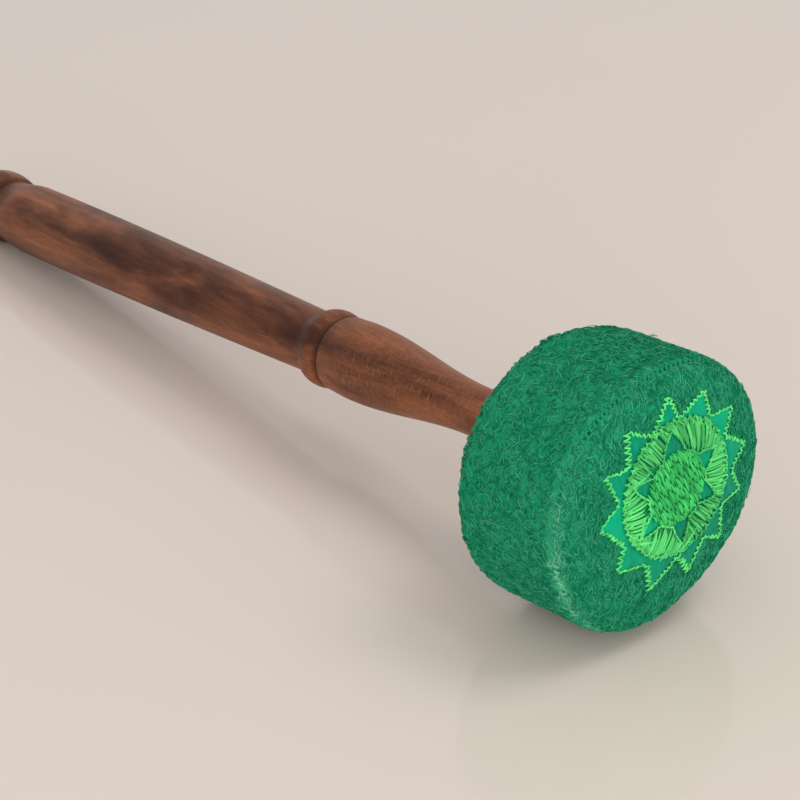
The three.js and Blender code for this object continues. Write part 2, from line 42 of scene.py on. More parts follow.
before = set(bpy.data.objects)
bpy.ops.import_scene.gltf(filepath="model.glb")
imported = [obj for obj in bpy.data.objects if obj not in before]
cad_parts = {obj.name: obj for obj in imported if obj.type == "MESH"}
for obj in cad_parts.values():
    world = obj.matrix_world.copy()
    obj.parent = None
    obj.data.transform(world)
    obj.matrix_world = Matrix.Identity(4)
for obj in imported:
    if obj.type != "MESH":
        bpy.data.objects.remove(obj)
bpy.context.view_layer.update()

MM = 0.001


def from_srgb(text):
    """Linear colour of an sRGB hex value."""
    parts = [int(text[i : i + 2], 16) / 255 for i in (0, 2, 4)]
    return tuple(c / 12.92 if c <= 0.04045 else ((c + 0.055) / 1.055) ** 2.4 for c in parts)


# Place of the turning frame

TILT = math.radians(4.981755)
AXIS_START = np.array([0.1562982, 0.0000018, 0.0379508])
ALONG = np.array([-math.cos(TILT), 0.0, -math.sin(TILT)])
RIGHT = np.array([0.0, 1.0, 0.0])
UP = np.array([-math.sin(TILT), 0.0, math.cos(TILT)])


def place(x, station, z):
    """Points of the turning frame, in mm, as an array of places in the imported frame, in metres."""
    x, station, z = np.broadcast_arrays(x, station, z)
    return AXIS_START + MM * (station[..., None] * ALONG + x[..., None] * RIGHT + z[..., None] * UP)


def turn_vector(x, station, z):
    """Directions of the turning frame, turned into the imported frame."""
    x, station, z = np.broadcast_arrays(x, station, z)
    return station[..., None] * ALONG + x[..., None] * RIGHT + z[..., None] * UP


# Form of the head, in mm

HEAD_DEPTH = 35.4
HEAD_FRONT_RADIUS = 34.2
HEAD_BACK_RADIUS = 36.0
FRONT_EDGE = 8.0
BACK_EDGE = 4.2
FACE_CROWN = 1.8
FELT_THICKNESS = 2.6
HEAD_SAG = 1.6
HEAD_SIDE_SHIFT = -0.4
UNEVEN_START = 22.3
UNEVEN_FULL = 31.3
FRONT_LOBES = ((2, 2.0, 34), (3, 0.6, 17), (4, 0.5, -34))
BACK_LOBES = ((2, 1.75, -8), (3, 0.45, -9))
FRONT_SEAM = 25
BACK_SEAM = 50
FRONT_FLAT = HEAD_FRONT_RADIUS - FRONT_EDGE
BACK_FLAT = HEAD_BACK_RADIUS - BACK_EDGE
WALL_FRONT = FRONT_EDGE
WALL_BACK = HEAD_DEPTH - BACK_EDGE
NECK_HOLE = 7.0


def lobe_rise(lobes, angle):
    return sum(rise * np.cos(count * (angle - math.radians(turn))) for count, rise, turn in lobes)


def uneven(radius, angle, station):
    """The hand-sewn head is not quite round and sits low: where a point of the round head really lies."""
    back = np.clip(station / HEAD_DEPTH, 0, 1)
    rise = (1 - back) * lobe_rise(FRONT_LOBES, angle) + back * lobe_rise(BACK_LOBES, angle)
    share = np.clip((radius - UNEVEN_START) / (UNEVEN_FULL - UNEVEN_START), 0, 1)
    x = radius * np.cos(angle) + share * (rise * np.cos(angle) + HEAD_SIDE_SHIFT)
    z = radius * np.sin(angle) + share * (rise * np.sin(angle) - HEAD_SAG)
    return x, z


def crown(radius):
    return FACE_CROWN * (1 - (radius / HEAD_FRONT_RADIUS) ** 2)


def face_station(x, z):
    """Station of the felt's front skin at points seen along the axis."""
    even_x, even_z = np.array(x, float), np.array(z, float)
    for _ in range(16):
        moved = uneven(np.hypot(even_x, even_z), np.arctan2(even_z, even_x), np.zeros_like(even_x))
        even_x = even_x + (x - moved[0])
        even_z = even_z + (z - moved[1])
    radius = np.hypot(even_x, even_z)
    past = np.clip(radius - FRONT_FLAT, 0, FRONT_EDGE)
    return FRONT_EDGE - np.sqrt(FRONT_EDGE**2 - past**2) - crown(radius)


def face_normal(x, z):
    """Outward directions of the front skin."""
    step = 0.4
    slope_x = (face_station(x + step, z) - face_station(x - step, z)) / (2 * step)
    slope_z = (face_station(x, z + step) - face_station(x, z - step)) / (2 * step)
    made = turn_vector(slope_x, -np.ones_like(slope_x), slope_z)
    return made / np.linalg.norm(made, axis=-1, keepdims=True)


def on_face(x, z, lift):
    """Places that stand lift mm off the felt's front skin."""
    x, z = np.asarray(x, float), np.asarray(z, float)
    return place(x, face_station(x, z), z) + MM * np.asarray(lift)[..., None] * face_normal(x, z)


# Form of the lotus, in mm and degrees

LOTUS_X = 0.1
LOTUS_Z = 2.4
# Petal tips and the valleys that follow them, as (angle, radius), and the zigzag's half width on the two
# flanks that leave each tip and each valley, because a hand-guided machine spreads its stitches unevenly
PETALS = (
    ((93, 24.2), (115, 18.0), 0.55, 0.40), ((128, 24.8), (146.5, 18.9), 0.85, 0.16),
    ((155, 25.4), (172, 19.3), 0.50, 0.22), ((185, 25.1), (206, 19.9), 0.50, 0.68),
    ((218.5, 25.1), (239, 19.8), 0.10, 0.85), ((250, 26.2), (272, 18.9), 0.30, 0.75),
    ((280, 25.1), (299, 19.6), 0.26, 0.34), ((309, 25.1), (326.5, 19.2), 0.50, 0.14),
    ((339, 24.6), (352.5, 19.9), 0.45, 0.40), ((367, 25.0), (383.5, 19.1), 0.42, 0.50),
    ((395.5, 25.0), (410.5, 19.0), 0.12, 0.50), ((424, 24.3), (446.5, 17.8), 0.45, 0.50),
)
# Painted sheen of the satin in each petal, from dull to bright, carried in its colour
PETAL_SHEEN = (0.42, 0.28, 0.5, 0.98, 0.62, 0.4, 0.2, 0.15, 0.3, 0.5, 0.95, 0.78)
# Windows in the stitched ring, as (angle, half width, tip radius, painted sheen of the satin)
WINDOWS = (
    (96, 23, 15.2, 0.2), (161, 16, 14.9, 0.3), (217, 15, 15.1, 0.95), (276, 17, 15.4, 0.12),
    (334, 16.5, 14.7, 0.2), (384, 18.5, 14.3, 0.55),
)
DISC_RADIUS = 9.4
RING_RADIUS = 17.1
# Stitch directions at the start and the end of the ring field that follows each window
FIELD_TURNS = ((-55, -38), (22, -18), (72, 38), (122, 148), (165, 188), (-125, -62))


def polar(radius, degrees):
    angle = np.radians(degrees)
    return LOTUS_X + radius * np.cos(angle), LOTUS_Z + radius * np.sin(angle)


def lotus_corners():
    return [corner for petal in PETALS for corner in petal[:2]]


def lotus_edge(degrees):
    """Radius of the lotus's outline, whose flanks are straight between tips and valleys."""
    corners = lotus_corners()
    angles = np.radians([a for a, _ in corners])
    x = np.array([r * math.cos(a) for (_, r), a in zip(corners, angles)])
    z = np.array([r * math.sin(a) for (_, r), a in zip(corners, angles)])
    turn = np.radians(np.mod(np.asarray(degrees, float) - corners[0][0], 360) + corners[0][0])
    start = np.clip(np.searchsorted(angles, turn, side="right") - 1, 0, len(corners) - 1)
    end = (start + 1) % len(corners)
    edge_x, edge_z = x[end] - x[start], z[end] - z[start]
    cross = np.cos(turn) * edge_z - np.sin(turn) * edge_x
    return (x[start] * edge_z - z[start] * edge_x) / cross


def angle_off(degrees, middle):
    """Angle from a middle, between -180 and 180 degrees."""
    return np.mod(np.asarray(degrees) - middle + 180, 360) - 180


def ring_outer(degrees):
    return np.full(np.shape(degrees), RING_RADIUS)


def ring_inner(degrees):
    """Inner radius of the stitched ring, which steps out round each window."""
    radius = np.full(np.shape(degrees), DISC_RADIUS)
    for middle, half, tip, _ in WINDOWS:
        off = np.abs(angle_off(degrees, middle))
        radius = np.maximum(radius, tip - (tip - DISC_RADIUS) * off / half)
    return radius


# Sizes that a user would change


def length(name, description, default_mm):
    return FloatProperty(
        name=name, description=description, default=default_mm * MM, unit="LENGTH", precision=5
    )


def tint(name, description, hex_value):
    return FloatVectorProperty(
        name=name, description=description, default=from_srgb(hex_value), subtype="COLOR", min=0, max=1
    )


class MalletHandleSizes(PropertyGroup):
    sides: IntProperty(name="Sides", description="Sides of the turned handle", default=120, min=24)
    tool_marks: length("Tool marks", "Height of the marks that the gouge left", 0.025)
    light_wood: tint("Light wood", "Orange-brown zones of the wood", "94593a")
    deep_wood: tint("Deep wood", "Reddish-brown zones of the wood", "4c2c1f")
    dark_streak: tint("Dark streak", "Blackish heartwood streak", "321b17")


class MalletFeltSizes(PropertyGroup):
    grain: length("Vertex spacing", "Spacing of the felt's mesh", 0.45)
    nap_height: length("Nap height", "Height of the felt's lumps", 0.32)
    clump: length("Clump", "Width of the felt's lumps", 1.5)
    fibre_width: length("Fibre width", "Width of a tuft, drawn wide enough to show", 0.3)
    fibre_length: length("Fibre length", "Length of a drawn tuft of fibres", 2.1)
    fibre_density: FloatProperty(
        name="Fibres", description="Drawn tufts on a square centimetre", default=84.0, min=0
    )
    # Dark felt is the painted shade in the felt's pits, and also the darkest of the fibres' own tones
    dark_felt: tint("Dark felt", "Felt down between the fibres", "0a6347")
    felt: tint("Felt", "Felt's main green", "138e64")
    pale_felt: tint("Pale felt", "Worn and brushed-up felt", "45a880")


class MalletLotusSizes(PropertyGroup):
    thread_width: length("Thread width", "Width of a thread, drawn wide enough to show", 0.58)
    stitch_pitch: length("Stitch pitch", "Distance between two satin stitches", 0.6)
    border_pitch: length("Border pitch", "Advance of the border's zigzag at each stitch", 0.68)
    lime: tint("Lime", "Thread of the ring and border", "5ad876")
    deep_lime: tint("Deep lime", "Thread of the centre", "3ecb6a")
    # Bright and dull satin are lit and shaded copies of one satin, mixed by its painted sheen
    satin: tint("Satin", "Satin where it is bright", "00a679")
    deep_satin: tint("Deep satin", "Satin where it is dull", "00785a")


class MalletStageSizes(PropertyGroup):
    floor_side: length("Floor", "Side of the floor", 9000)
    floor_tint: tint("Floor colour", "Pale beige table", "d5cac2")
    lens: FloatProperty(name="Lens", description="Focal length of the camera, in mm", default=101.811)


# Helpers


def feed(made, *inputs, **named):
    """Links or sets a node's inputs, by their order or by their names with _ for a space."""
    for key, value in (*enumerate(inputs), *named.items()):
        if isinstance(key, int):
            target = made.inputs[key]
        else:
            target = next(s for s in made.inputs if s.name == key.replace("_", " ") and s.enabled)
        if isinstance(value, bpy.types.Node):
            value = next(s for s in value.outputs if s.enabled)
        if isinstance(value, bpy.types.NodeSocket):
            made.id_data.links.new(value, target)
        else:
            target.default_value = (*value, 1.0) if target.type == "RGBA" else value


def node(tree, kind, *inputs, stops=(), **values):
    """Adds a node. Its kind may end in its operation, values with a capital are inputs and the others are
    settings, and stops are the positions and colours of a colour ramp."""
    kind, _, operation = kind.partition(".")
    starts = ("ShaderNode",) if tree.type == "SHADER" else ("GeometryNode", "FunctionNode", "ShaderNode", "")
    made = tree.nodes.new(next(start + kind for start in starts if hasattr(bpy.types, start + kind)))
    if operation:
        made.operation = operation
    for name, value in values.items():
        if name[0].islower():
            setattr(made, name, value)
    for number, (position, colour) in enumerate(stops):
        ramp = made.color_ramp.elements
        if number == 0:
            ramp.remove(ramp[1])
        stop = ramp.new(position) if number else ramp[0]
        stop.position = position
        stop.color = (*colour, 1.0)
    feed(made, *inputs, **{name: value for name, value in values.items() if name[0].isupper()})
    return made


def geometry_tree(name, **sockets):
    """A Geometry Nodes tree with the named inputs given as (kind, default): it, what adds a node to it, and
    the outputs of its input node."""
    tree = bpy.data.node_groups.new(name, "GeometryNodeTree")
    tree.interface.new_socket("Geometry", in_out="INPUT", socket_type="NodeSocketGeometry")
    for label, (kind, default) in sockets.items():
        made = tree.interface.new_socket(
            label.replace("_", " "), in_out="INPUT", socket_type="NodeSocket" + kind
        )
        if default is not None:
            made.default_value = default
    tree.interface.new_socket("Geometry", in_out="OUTPUT", socket_type="NodeSocketGeometry")
    return tree, partial(node, tree), node(tree, "NodeGroupInput").outputs


def finish_tree(tree, add, geometry, finish):
    """Ends a tree: smooth, realised, with its material and joined to the output."""
    solid = add("RealizeInstances", add("SetShadeSmooth", Geometry=geometry))
    add("NodeGroupOutput", add("SetMaterial", Geometry=solid, Material=finish))
    return tree


def run_tree(obj, tree, **values):
    """Runs a tree on an object, and leaves its result there as a plain mesh."""
    modifier = obj.modifiers.new(tree.name, "NODES")
    modifier.node_group = tree
    for item in tree.interface.items_tree:
        key = item.name.replace(" ", "_")
        if item.item_type == "SOCKET" and item.in_out == "INPUT" and key in values:
            modifier[item.identifier] = values[key]
    graph = bpy.context.evaluated_depsgraph_get()
    mesh = bpy.data.meshes.new_from_object(
        obj.evaluated_get(graph), preserve_all_data_layers=True, depsgraph=graph
    )
    obj.modifiers.remove(modifier)
    old = obj.data
    obj.data = mesh
    mesh.name = obj.name
    mesh.polygons.foreach_set("material_index", [0] * len(mesh.polygons))
    dress(obj, values["Finish"])
    bpy.data.meshes.remove(old)


def new_object(name, points, edges=(), faces=(), smooth=True, **values):
    """A mesh object at the origin, with float or vector attributes on its points."""
    mesh = bpy.data.meshes.new(name)
    mesh.from_pydata(np.asarray(points).reshape(-1, 3).tolist(), edges, faces)
    for label, data in values.items():
        data = np.asarray(data, np.float32)
        kind, field = ("FLOAT_VECTOR", "vector") if data.ndim > 1 else ("FLOAT", "value")
        mesh.attributes.new(label, kind, "POINT").data.foreach_set(field, data.ravel())
    if smooth:
        mesh.shade_smooth()
    obj = bpy.data.objects.new(name, mesh)
    bpy.context.scene.collection.objects.link(obj)
    return obj


def dress(obj, finish):
    obj.data.materials.clear()
    obj.data.materials.append(finish)


def quads_between(a, b):
    """Quads between two closed rows of point numbers."""
    return np.stack([a, b, np.roll(b, -1), np.roll(a, -1)], 1)


def fan(pole, a, b):
    """Triangles from a pole to the edges between two rows of point numbers."""
    return [(pole, int(first), int(final)) for first, final in zip(a, b)]


# Finishes


def new_finish(name, **sockets):
    """A material whose one shader has these sockets set: it, what adds a node to it, and its shader."""
    made = bpy.data.materials.new(name)
    made.use_nodes = True
    shader = made.node_tree.nodes["Principled BSDF"]
    feed(shader, **sockets)
    return made, partial(node, made.node_tree), shader


def fineness(size_mm):
    """Scale of a noise whose lumps have this size."""
    return 1 / (size_mm * MM)


def turned_hardwood(sizes):
    """Sheesham, an Indian rosewood, turned and wiped with a satin lacquer: long grain, a dark heart streak,
    pale flecks where the grain stands up, and painted shade in the grooves."""
    made, add, shader = new_finish(
        "turned_hardwood", Coat_Weight=0.12, Coat_Roughness=0.3, Specular_IOR_Level=0.3,
        Specular_Tint=from_srgb("e0906a"),
    )
    # Millimetres along the axis, across it and down
    turn = Euler((0, TILT - math.pi, 0))
    local = add(
        "Mapping", Vector=add("TexCoord").outputs["Object"], Rotation=turn, Scale=(1 / MM,) * 3,
        Location=-(turn.to_matrix() @ Vector(AXIS_START / MM)),
    )
    station, across, down = add("SeparateXYZ", local).outputs
    zones, grain, pores, wander, flecks = (
        add(
            "TexNoise", Vector=add("VectorMath.DIVIDE", local, (long_mm, wide_mm, wide_mm)), Scale=1.0,
            Detail=detail, Roughness=rough, Distortion=bend,
        )
        for long_mm, wide_mm, detail, rough, bend in (
            # Zones of lighter and deeper brown
            (50.0, 14.286, 4.0, 0.6, 0.6),
            # Lines of the grain
            (14.286, 0.9091, 6.0, 0.7, 0.8),
            # Pores, drawn 0.24 mm wide because real ones are too fine to show
            (2.2222, 0.2381, 2.0, 0.5, 0.0),
            # Edge of the heart streak
            (33.333, 8.3333, 4.0, 0.58, 0.5),
            # Pale flecks on the swell and cross ripples on the neck
            (0.3846, 2.0, 4.0, 0.7, 0.3),
        )
    )
    zone_share = add("MapRange", Value=zones, From_Min=0.36, From_Max=0.64)
    wood = add("Mix", Factor=zone_share, A=sizes.deep_wood, B=sizes.light_wood, data_type="RGBA")
    # Dark streak of heartwood, which drifts round the handle towards the head
    bearing = add("MapRange", Value=station, From_Min=100.0, From_Max=290.0, To_Min=2.75, To_Max=2.1)
    sideways = add("Math.MULTIPLY", add("Math.SINE", bearing), -1.0)
    ray = add("CombineXYZ", 0.0, add("Math.COSINE", bearing), sideways)
    radial = add("VectorMath.NORMALIZE", add("CombineXYZ", 0.0, across, down))
    facing = add("VectorMath.DOT_PRODUCT", radial, ray).outputs["Value"]
    streak = add("Math.ADD", facing, add("Math.MULTIPLY_ADD", wander, 1.9, -0.95))
    # The streak runs out before the neck, and the flecks end at the collar
    streak_mask, fade, fleck_mask, swell_zone = (
        add(
            "MapRange", Value=value, From_Min=low, From_Max=high, To_Max=most,
            interpolation_type="SMOOTHSTEP",
        )
        for value, low, high, most in (
            (streak, 0.5, 1.3, 0.85), (station, 84.0, 108.0, 1.0), (flecks, 0.5, 0.72, 0.45),
            (station, 122.0, 108.0, 1.0),
        )
    )
    streak_share = add("Math.MULTIPLY", streak_mask, fade)
    streaked = add("Mix", Factor=streak_share, A=wood, B=sizes.dark_streak, data_type="RGBA")
    # Grain lines and pores darken and lighten the wood
    line_share = add("MapRange", Value=grain, From_Min=0.3, From_Max=0.7, To_Min=0.62, To_Max=1.22)
    pore_share = add("MapRange", Value=pores, From_Min=0.28, From_Max=0.42, To_Min=0.74)
    lined = add("VectorMath.SCALE", streaked, Scale=add("Math.MULTIPLY", line_share, pore_share))
    fleck_share = add("Math.MULTIPLY", fleck_mask, swell_zone)
    flecked = add("Mix", Factor=fleck_share, A=lined, B=from_srgb("a07a66"), data_type="RGBA")
    # Painted shade: the wood is coloured darker in the grooves
    groove = add("Attribute", attribute_name="groove").outputs["Fac"]
    feed(
        shader, Base_Color=add("Mix", Factor=groove, A=flecked, B=from_srgb("2b1d18"), data_type="RGBA"),
        Roughness=add("MapRange", Value=wander, From_Min=0.3, From_Max=0.7, To_Min=0.34, To_Max=0.56),
        Normal=add(
            "Bump", Strength=0.35, Distance=0.08 * MM, Height=add("Math.MULTIPLY_ADD", pores, 0.6, grain)
        ),
    )
    return made


def wool_felt(sizes):
    """Needled wool felt, dyed emerald: matt, with painted shade in the pits between brushed-up lumps and a
    pale worn rim.
    """
    made, add, shader = new_finish(
        "wool_felt", Roughness=0.95, Specular_IOR_Level=0.1, Sheen_Weight=0.1, Sheen_Roughness=0.5,
        Sheen_Tint=from_srgb("5fd8a0"),
    )
    coords = add("TexCoord").outputs["Object"]
    # Strands drawn 0.3 mm wide, because single hairs are too fine to show, and clouds of 6 mm
    fine = add("TexNoise", Vector=coords, Scale=fineness(0.30303), Detail=3.0, Roughness=0.7)
    cloud = add("TexNoise", Vector=coords, Scale=fineness(5.882), Detail=3.0, Roughness=0.6)
    nap = add("Attribute", attribute_name="nap_height").outputs["Fac"]
    # Painted shade: the felt is coloured darker down in its pits, by the nap's height and the fine noise
    pit_shade = add("Math.MULTIPLY_ADD", fine, 0.55, nap)
    ramp = add("ValToRGB", pit_shade, stops=((0.42, sizes.dark_felt), (1.0, sizes.felt)))
    cloud_share = add("MapRange", Value=cloud, From_Min=0.4, From_Max=0.75, To_Max=0.3)
    faded = add("Mix", Factor=cloud_share, A=ramp, B=sizes.pale_felt, data_type="RGBA")
    worn = add("Attribute", attribute_name="worn").outputs["Fac"]
    feed(
        shader, Base_Color=add("Mix", Factor=worn, A=faded, B=sizes.pale_felt, data_type="RGBA"),
        Normal=add("Bump", Strength=0.7, Distance=0.25 * MM, Height=fine),
    )
    return made


def felt_fibres(sizes):
    """Loose tufts of the same wool, each a little lighter or darker than the next."""
    made, add, shader = new_finish(
        "wool_fibres", Roughness=0.9, Specular_IOR_Level=0.15, Sheen_Weight=0.05, Sheen_Roughness=0.5,
        Sheen_Tint=from_srgb("5fd8a0"),
    )
    # Tones above one belong to the rubbed rim
    tone = add("Math.MULTIPLY", add("Attribute", attribute_name="tone").outputs["Fac"], 0.6)
    bleached = from_srgb("7dc9a7")
    stops = ((0.0, sizes.dark_felt), (0.3, sizes.felt), (0.62, sizes.pale_felt), (1.0, bleached))
    feed(shader, Base_Color=add("ValToRGB", tone, stops=stops))
    return made


def seam_yarn(sizes):
    """Two-ply wool yarn in the felt's green, rubbed paler than the felt."""
    made, add, shader = new_finish(
        "wool_seam_yarn", Roughness=0.9, Sheen_Weight=0.05, Sheen_Roughness=0.5, Specular_IOR_Level=0.12
    )
    # Fluff in tufts of a quarter of a millimetre
    coords = add("TexCoord").outputs["Object"]
    fluff = add("TexNoise", Vector=coords, Scale=fineness(0.2381), Detail=3.0)
    share = add("Math.MULTIPLY_ADD", fluff, 0.5, add("Attribute", attribute_name="tone").outputs["Fac"])
    feed(
        shader, Base_Color=add("ValToRGB", share, stops=((0.2, sizes.felt), (1.0, from_srgb("70c59d")))),
        Normal=add("Bump", Strength=0.8, Distance=0.2 * MM, Height=fluff),
    )
    return made


def rayon_thread(name, light):
    """Machine embroidery thread of two rayon plies: silky, with a highlight along each stitch."""
    made, add, shader = new_finish(
        name, Roughness=0.42, Specular_IOR_Level=0.3, Specular_Tint=from_srgb("6cf078")
    )
    # Two plies wind round each other once in about a millimetre, and the colour is painted a little darker
    # and lighter along the twist, as shade and light on the plies
    way = add("SeparateXYZ", add("Attribute", attribute_name="thread_way").outputs["Vector"]).outputs
    twist = add("Math.MULTIPLY_ADD", way[1], 2.0, way[0])
    ply = add("Math.SINE", add("Math.MULTIPLY", twist, 2 * math.pi))
    # Painted light and shade: each stitch's colour runs from a shaded copy of the thread to a lit one by its
    # tone
    shaded = (light[0] * 0.12, light[1] * 0.3, light[2] * 0.3)
    lit = [min(c * 1.18 + 0.02, 1) for c in light]
    tone = add("Attribute", attribute_name="tone").outputs["Fac"]
    ramp = add("ValToRGB", tone, stops=((0.0, shaded), (1.0, lit)))
    ply_shade = add("MapRange", Value=ply, From_Min=-1.0, To_Min=0.94, To_Max=1.03)
    feed(
        shader, Base_Color=add("VectorMath.SCALE", ramp, Scale=ply_shade),
        Normal=add("Bump", Strength=0.3, Distance=0.04 * MM, Height=ply),
    )
    return made


def polyester_satin(sizes):
    """Emerald polyester satin: long floats give a soft sheen, and a sheen painted into its colour changes
    with each puckered petal.
    """
    made, add, shader = new_finish(
        "polyester_satin", Roughness=0.38, Specular_IOR_Level=0.35, Specular_Tint=from_srgb("28e6a0"),
        Anisotropic=0.6,
    )
    coords = add("TexCoord").outputs["Object"]
    cloud = add("TexNoise", Vector=coords, Scale=fineness(3.846))
    # Painted sheen: the colour runs from dull to bright satin by each petal's sheen and by clouds of 3.8 mm
    painted_sheen = add("Math.SUBTRACT", add("Attribute", attribute_name="sheen").outputs["Fac"], 0.25)
    share = add("Math.MULTIPLY_ADD", cloud, 0.5, painted_sheen)
    # Painted shade and sheen: creases 1.1 mm wide and 5 mm long run up and down the cloth and make its
    # colour darker or brighter
    pulled = add("VectorMath.DIVIDE", coords, [MM * size for size in (1.1111, 1.1111, 5.0)])
    crease = add("TexNoise", Vector=pulled, Scale=1.0, Detail=3.0, Distortion=0.4)
    creased_sheen = add("Math.ADD", share, add("Math.MULTIPLY_ADD", crease, 1.1, -0.55))
    # Floats of the weave, drawn at 0.25 mm because their real 0.1 mm is too fine to show
    weave = add("VectorMath.DIVIDE", coords, [MM * size for size in (0.25, 0.25, 1.6667)])
    floats = add("TexNoise", Vector=weave, Scale=1.0)
    feed(
        shader,
        Base_Color=add("Mix", Factor=creased_sheen, A=sizes.deep_satin, B=sizes.satin, data_type="RGBA"),
        Normal=add("Bump", Strength=0.25, Distance=0.05 * MM, Height=floats),
    )
    return made


def mottled(name, mottle_mm, detail, bend, low, high, relief=None, **sockets):
    """A finish that wanders between two colours, with the mottle's size along X, Y and Z, and the strength
    and the height in mm of its relief."""
    made, add, shader = new_finish(name, **sockets)
    coords = add("VectorMath.DIVIDE", add("TexCoord").outputs["Object"], [MM * size for size in mottle_mm])
    cloud = add("TexNoise", Vector=coords, Scale=1.0, Detail=detail, Distortion=bend)
    feed(shader, Base_Color=add("ValToRGB", cloud, stops=(low, high)))
    if relief:
        feed(shader, Normal=add("Bump", Strength=relief[0], Distance=relief[1] * MM, Height=cloud))
    return made, add, shader, cloud


def plain_wood():
    """Softwood core, sawn and left bare: pale with straight yellow-brown growth lines 2 mm wide."""
    return mottled(
        "sawn_pine", (16.667, 2.0, 2.0), 5.0, 0.7, (0.35, from_srgb("a87c4e")),
        (0.65, from_srgb("cfa877")), (0.4, 0.1), Roughness=0.72, Specular_IOR_Level=0.3,
    )[0]


def zinc_steel():
    """Bright zinc-plated steel: a cool metal with faint clouds of 1.4 mm, duller and glossier."""
    made, add, shader, cloud = mottled(
        "zinc_plated_steel", (1.4286,) * 3, 4.0, 0.0, (0.0, from_srgb("a9adb1")),
        (1.0, from_srgb("c9cdd0")), Metallic=1.0,
    )
    feed(shader, Roughness=add("MapRange", Value=cloud, To_Min=0.22, To_Max=0.45))
    return made


def wool_wadding():
    """Carded undyed wool: matt cream with loose grey-brown tufts of 2 mm."""
    return mottled(
        "wool_wadding", (2.2222,) * 3, 6.0, 1.5, (0.3, from_srgb("c9bfa9")), (0.6, from_srgb("ebe5d6")),
        (0.8, 0.8), Roughness=0.97, Specular_IOR_Level=0.15, Sheen_Weight=0.3, Sheen_Roughness=0.6,
    )[0]


def table_top(sizes):
    """Sealed stone-effect table: pale beige in clouds of a third of a metre, with a soft gloss."""
    tone = sizes.floor_tint
    return mottled(
        "beige_table", (333.33,) * 3, 2.0, 0.0, (0.0, [c * 0.96 for c in tone]),
        (1.0, [min(c * 1.04, 1) for c in tone]), Roughness=0.12, Specular_IOR_Level=0.4,
    )[0]


# Stage and handle

# Lamps, as (name, place, aim, side, power), in metres and watts
LAMPS = (
    ("softbox_right", (0.5, 0.75, 1.5), (0.05, 0, 0.03), 0.7, 7.6),
    ("softbox_front", (1.65, -0.75, 0.5), (0.15, 0, 0.01), 1.5, 17.0),
    ("low_reflector", (0.62, -0.72, 0.14), (0.13, 0, 0.01), 0.6, 2.6),
)
CAMERA_PLACE = (0.464054, -0.346290, 0.313660)
CAMERA_AIM = (0.068345, -0.008895, 0.030014)


def aimed_object(name, data, place_m, aim_m):
    """A lamp or camera that looks from its place at a point."""
    made = bpy.data.objects.new(name, data)
    made.location = place_m
    made.rotation_euler = (Vector(aim_m) - Vector(place_m)).to_track_quat("-Z", "Y").to_euler()
    bpy.context.scene.collection.objects.link(made)
    return made


class MALLET_OT_stage(Operator):
    """Make the table, the soft lamps and the camera"""

    bl_idname = "mallet.stage"
    bl_label = "Stage"

    def execute(self, context):
        sizes = context.scene.mallet_stage
        half = sizes.floor_side / 2
        corners = [(-half, -half, 0), (half, -half, 0), (half, half, 0), (-half, half, 0)]
        floor = new_object("table_top", corners, faces=[(0, 1, 2, 3)], smooth=False)
        dress(floor, table_top(sizes))

        world = bpy.data.worlds.new("studio")
        world.use_nodes = True
        feed(world.node_tree.nodes["Background"], Color=from_srgb("f4f1ee"), Strength=0.77)
        context.scene.world = world

        for name, place_m, aim_m, side, power in LAMPS:
            lamp = bpy.data.lights.new(name, "AREA")
            lamp.size = side
            lamp.energy = power
            lamp.color = (1.0, 0.985, 0.96)
            # Only the lamp at the right shows in glossy finishes
            aimed_object(name, lamp, place_m, aim_m).visible_glossy = name == "softbox_right"

        camera = bpy.data.cameras.new("camera")
        camera.sensor_width = 36
        camera.lens = sizes.lens
        camera.clip_start, camera.clip_end = 0.01, 20
        context.scene.camera = aimed_object("camera", camera, CAMERA_PLACE, CAMERA_AIM)
        context.scene.view_settings.view_transform = "Standard"
        return {"FINISHED"}


# Stations of the handle's outline in mm, from the tenon in the head to the pommel's butt
TENON_FRONT, SCREW_END, TENON_END, NECK_START = 13.3, 27.7, 28.5, 36.0
SWELL_START, SWELL_PEAK, SHOULDER_END = 66.0, 114.0, 122.2
COLLAR_START, COLLAR_END = 123.2, 130.8
GRIP_START, GRIP_PEAK = 133.0, 279.6
POMMEL_START, BUTT_START, BUTT_END = 294.6, 308.1, 317.6
# Its radii in mm
PILOT_RADIUS, TENON_RADIUS, NECK_RADIUS = 2.2, 5.5, 6.7
SWELL_RADIUS, SHOULDER_RADIUS, SHOULDER_ROUND = 11.0, 10.7, 1.2
COLLAR_FOOT, COLLAR_RADIUS = 9.5, 11.1
WAIST_RADIUS, GRIP_RADIUS = 8.9, 11.2
POMMEL_FOOT, POMMEL_RADIUS, BUTT_RADIUS = 9.8, 11.75, 5.0
# Grooves painted darker as shade, as (station, reach, share of painted shade)
SHADED_GROOVES = (
    (SHOULDER_END + 0.6, 1.1, 0.9), (COLLAR_END + 0.6, 1.6, 0.4), (POMMEL_START, 1.0, 0.75),
    (NECK_START + 0.5, 2.0, 0.5),
)


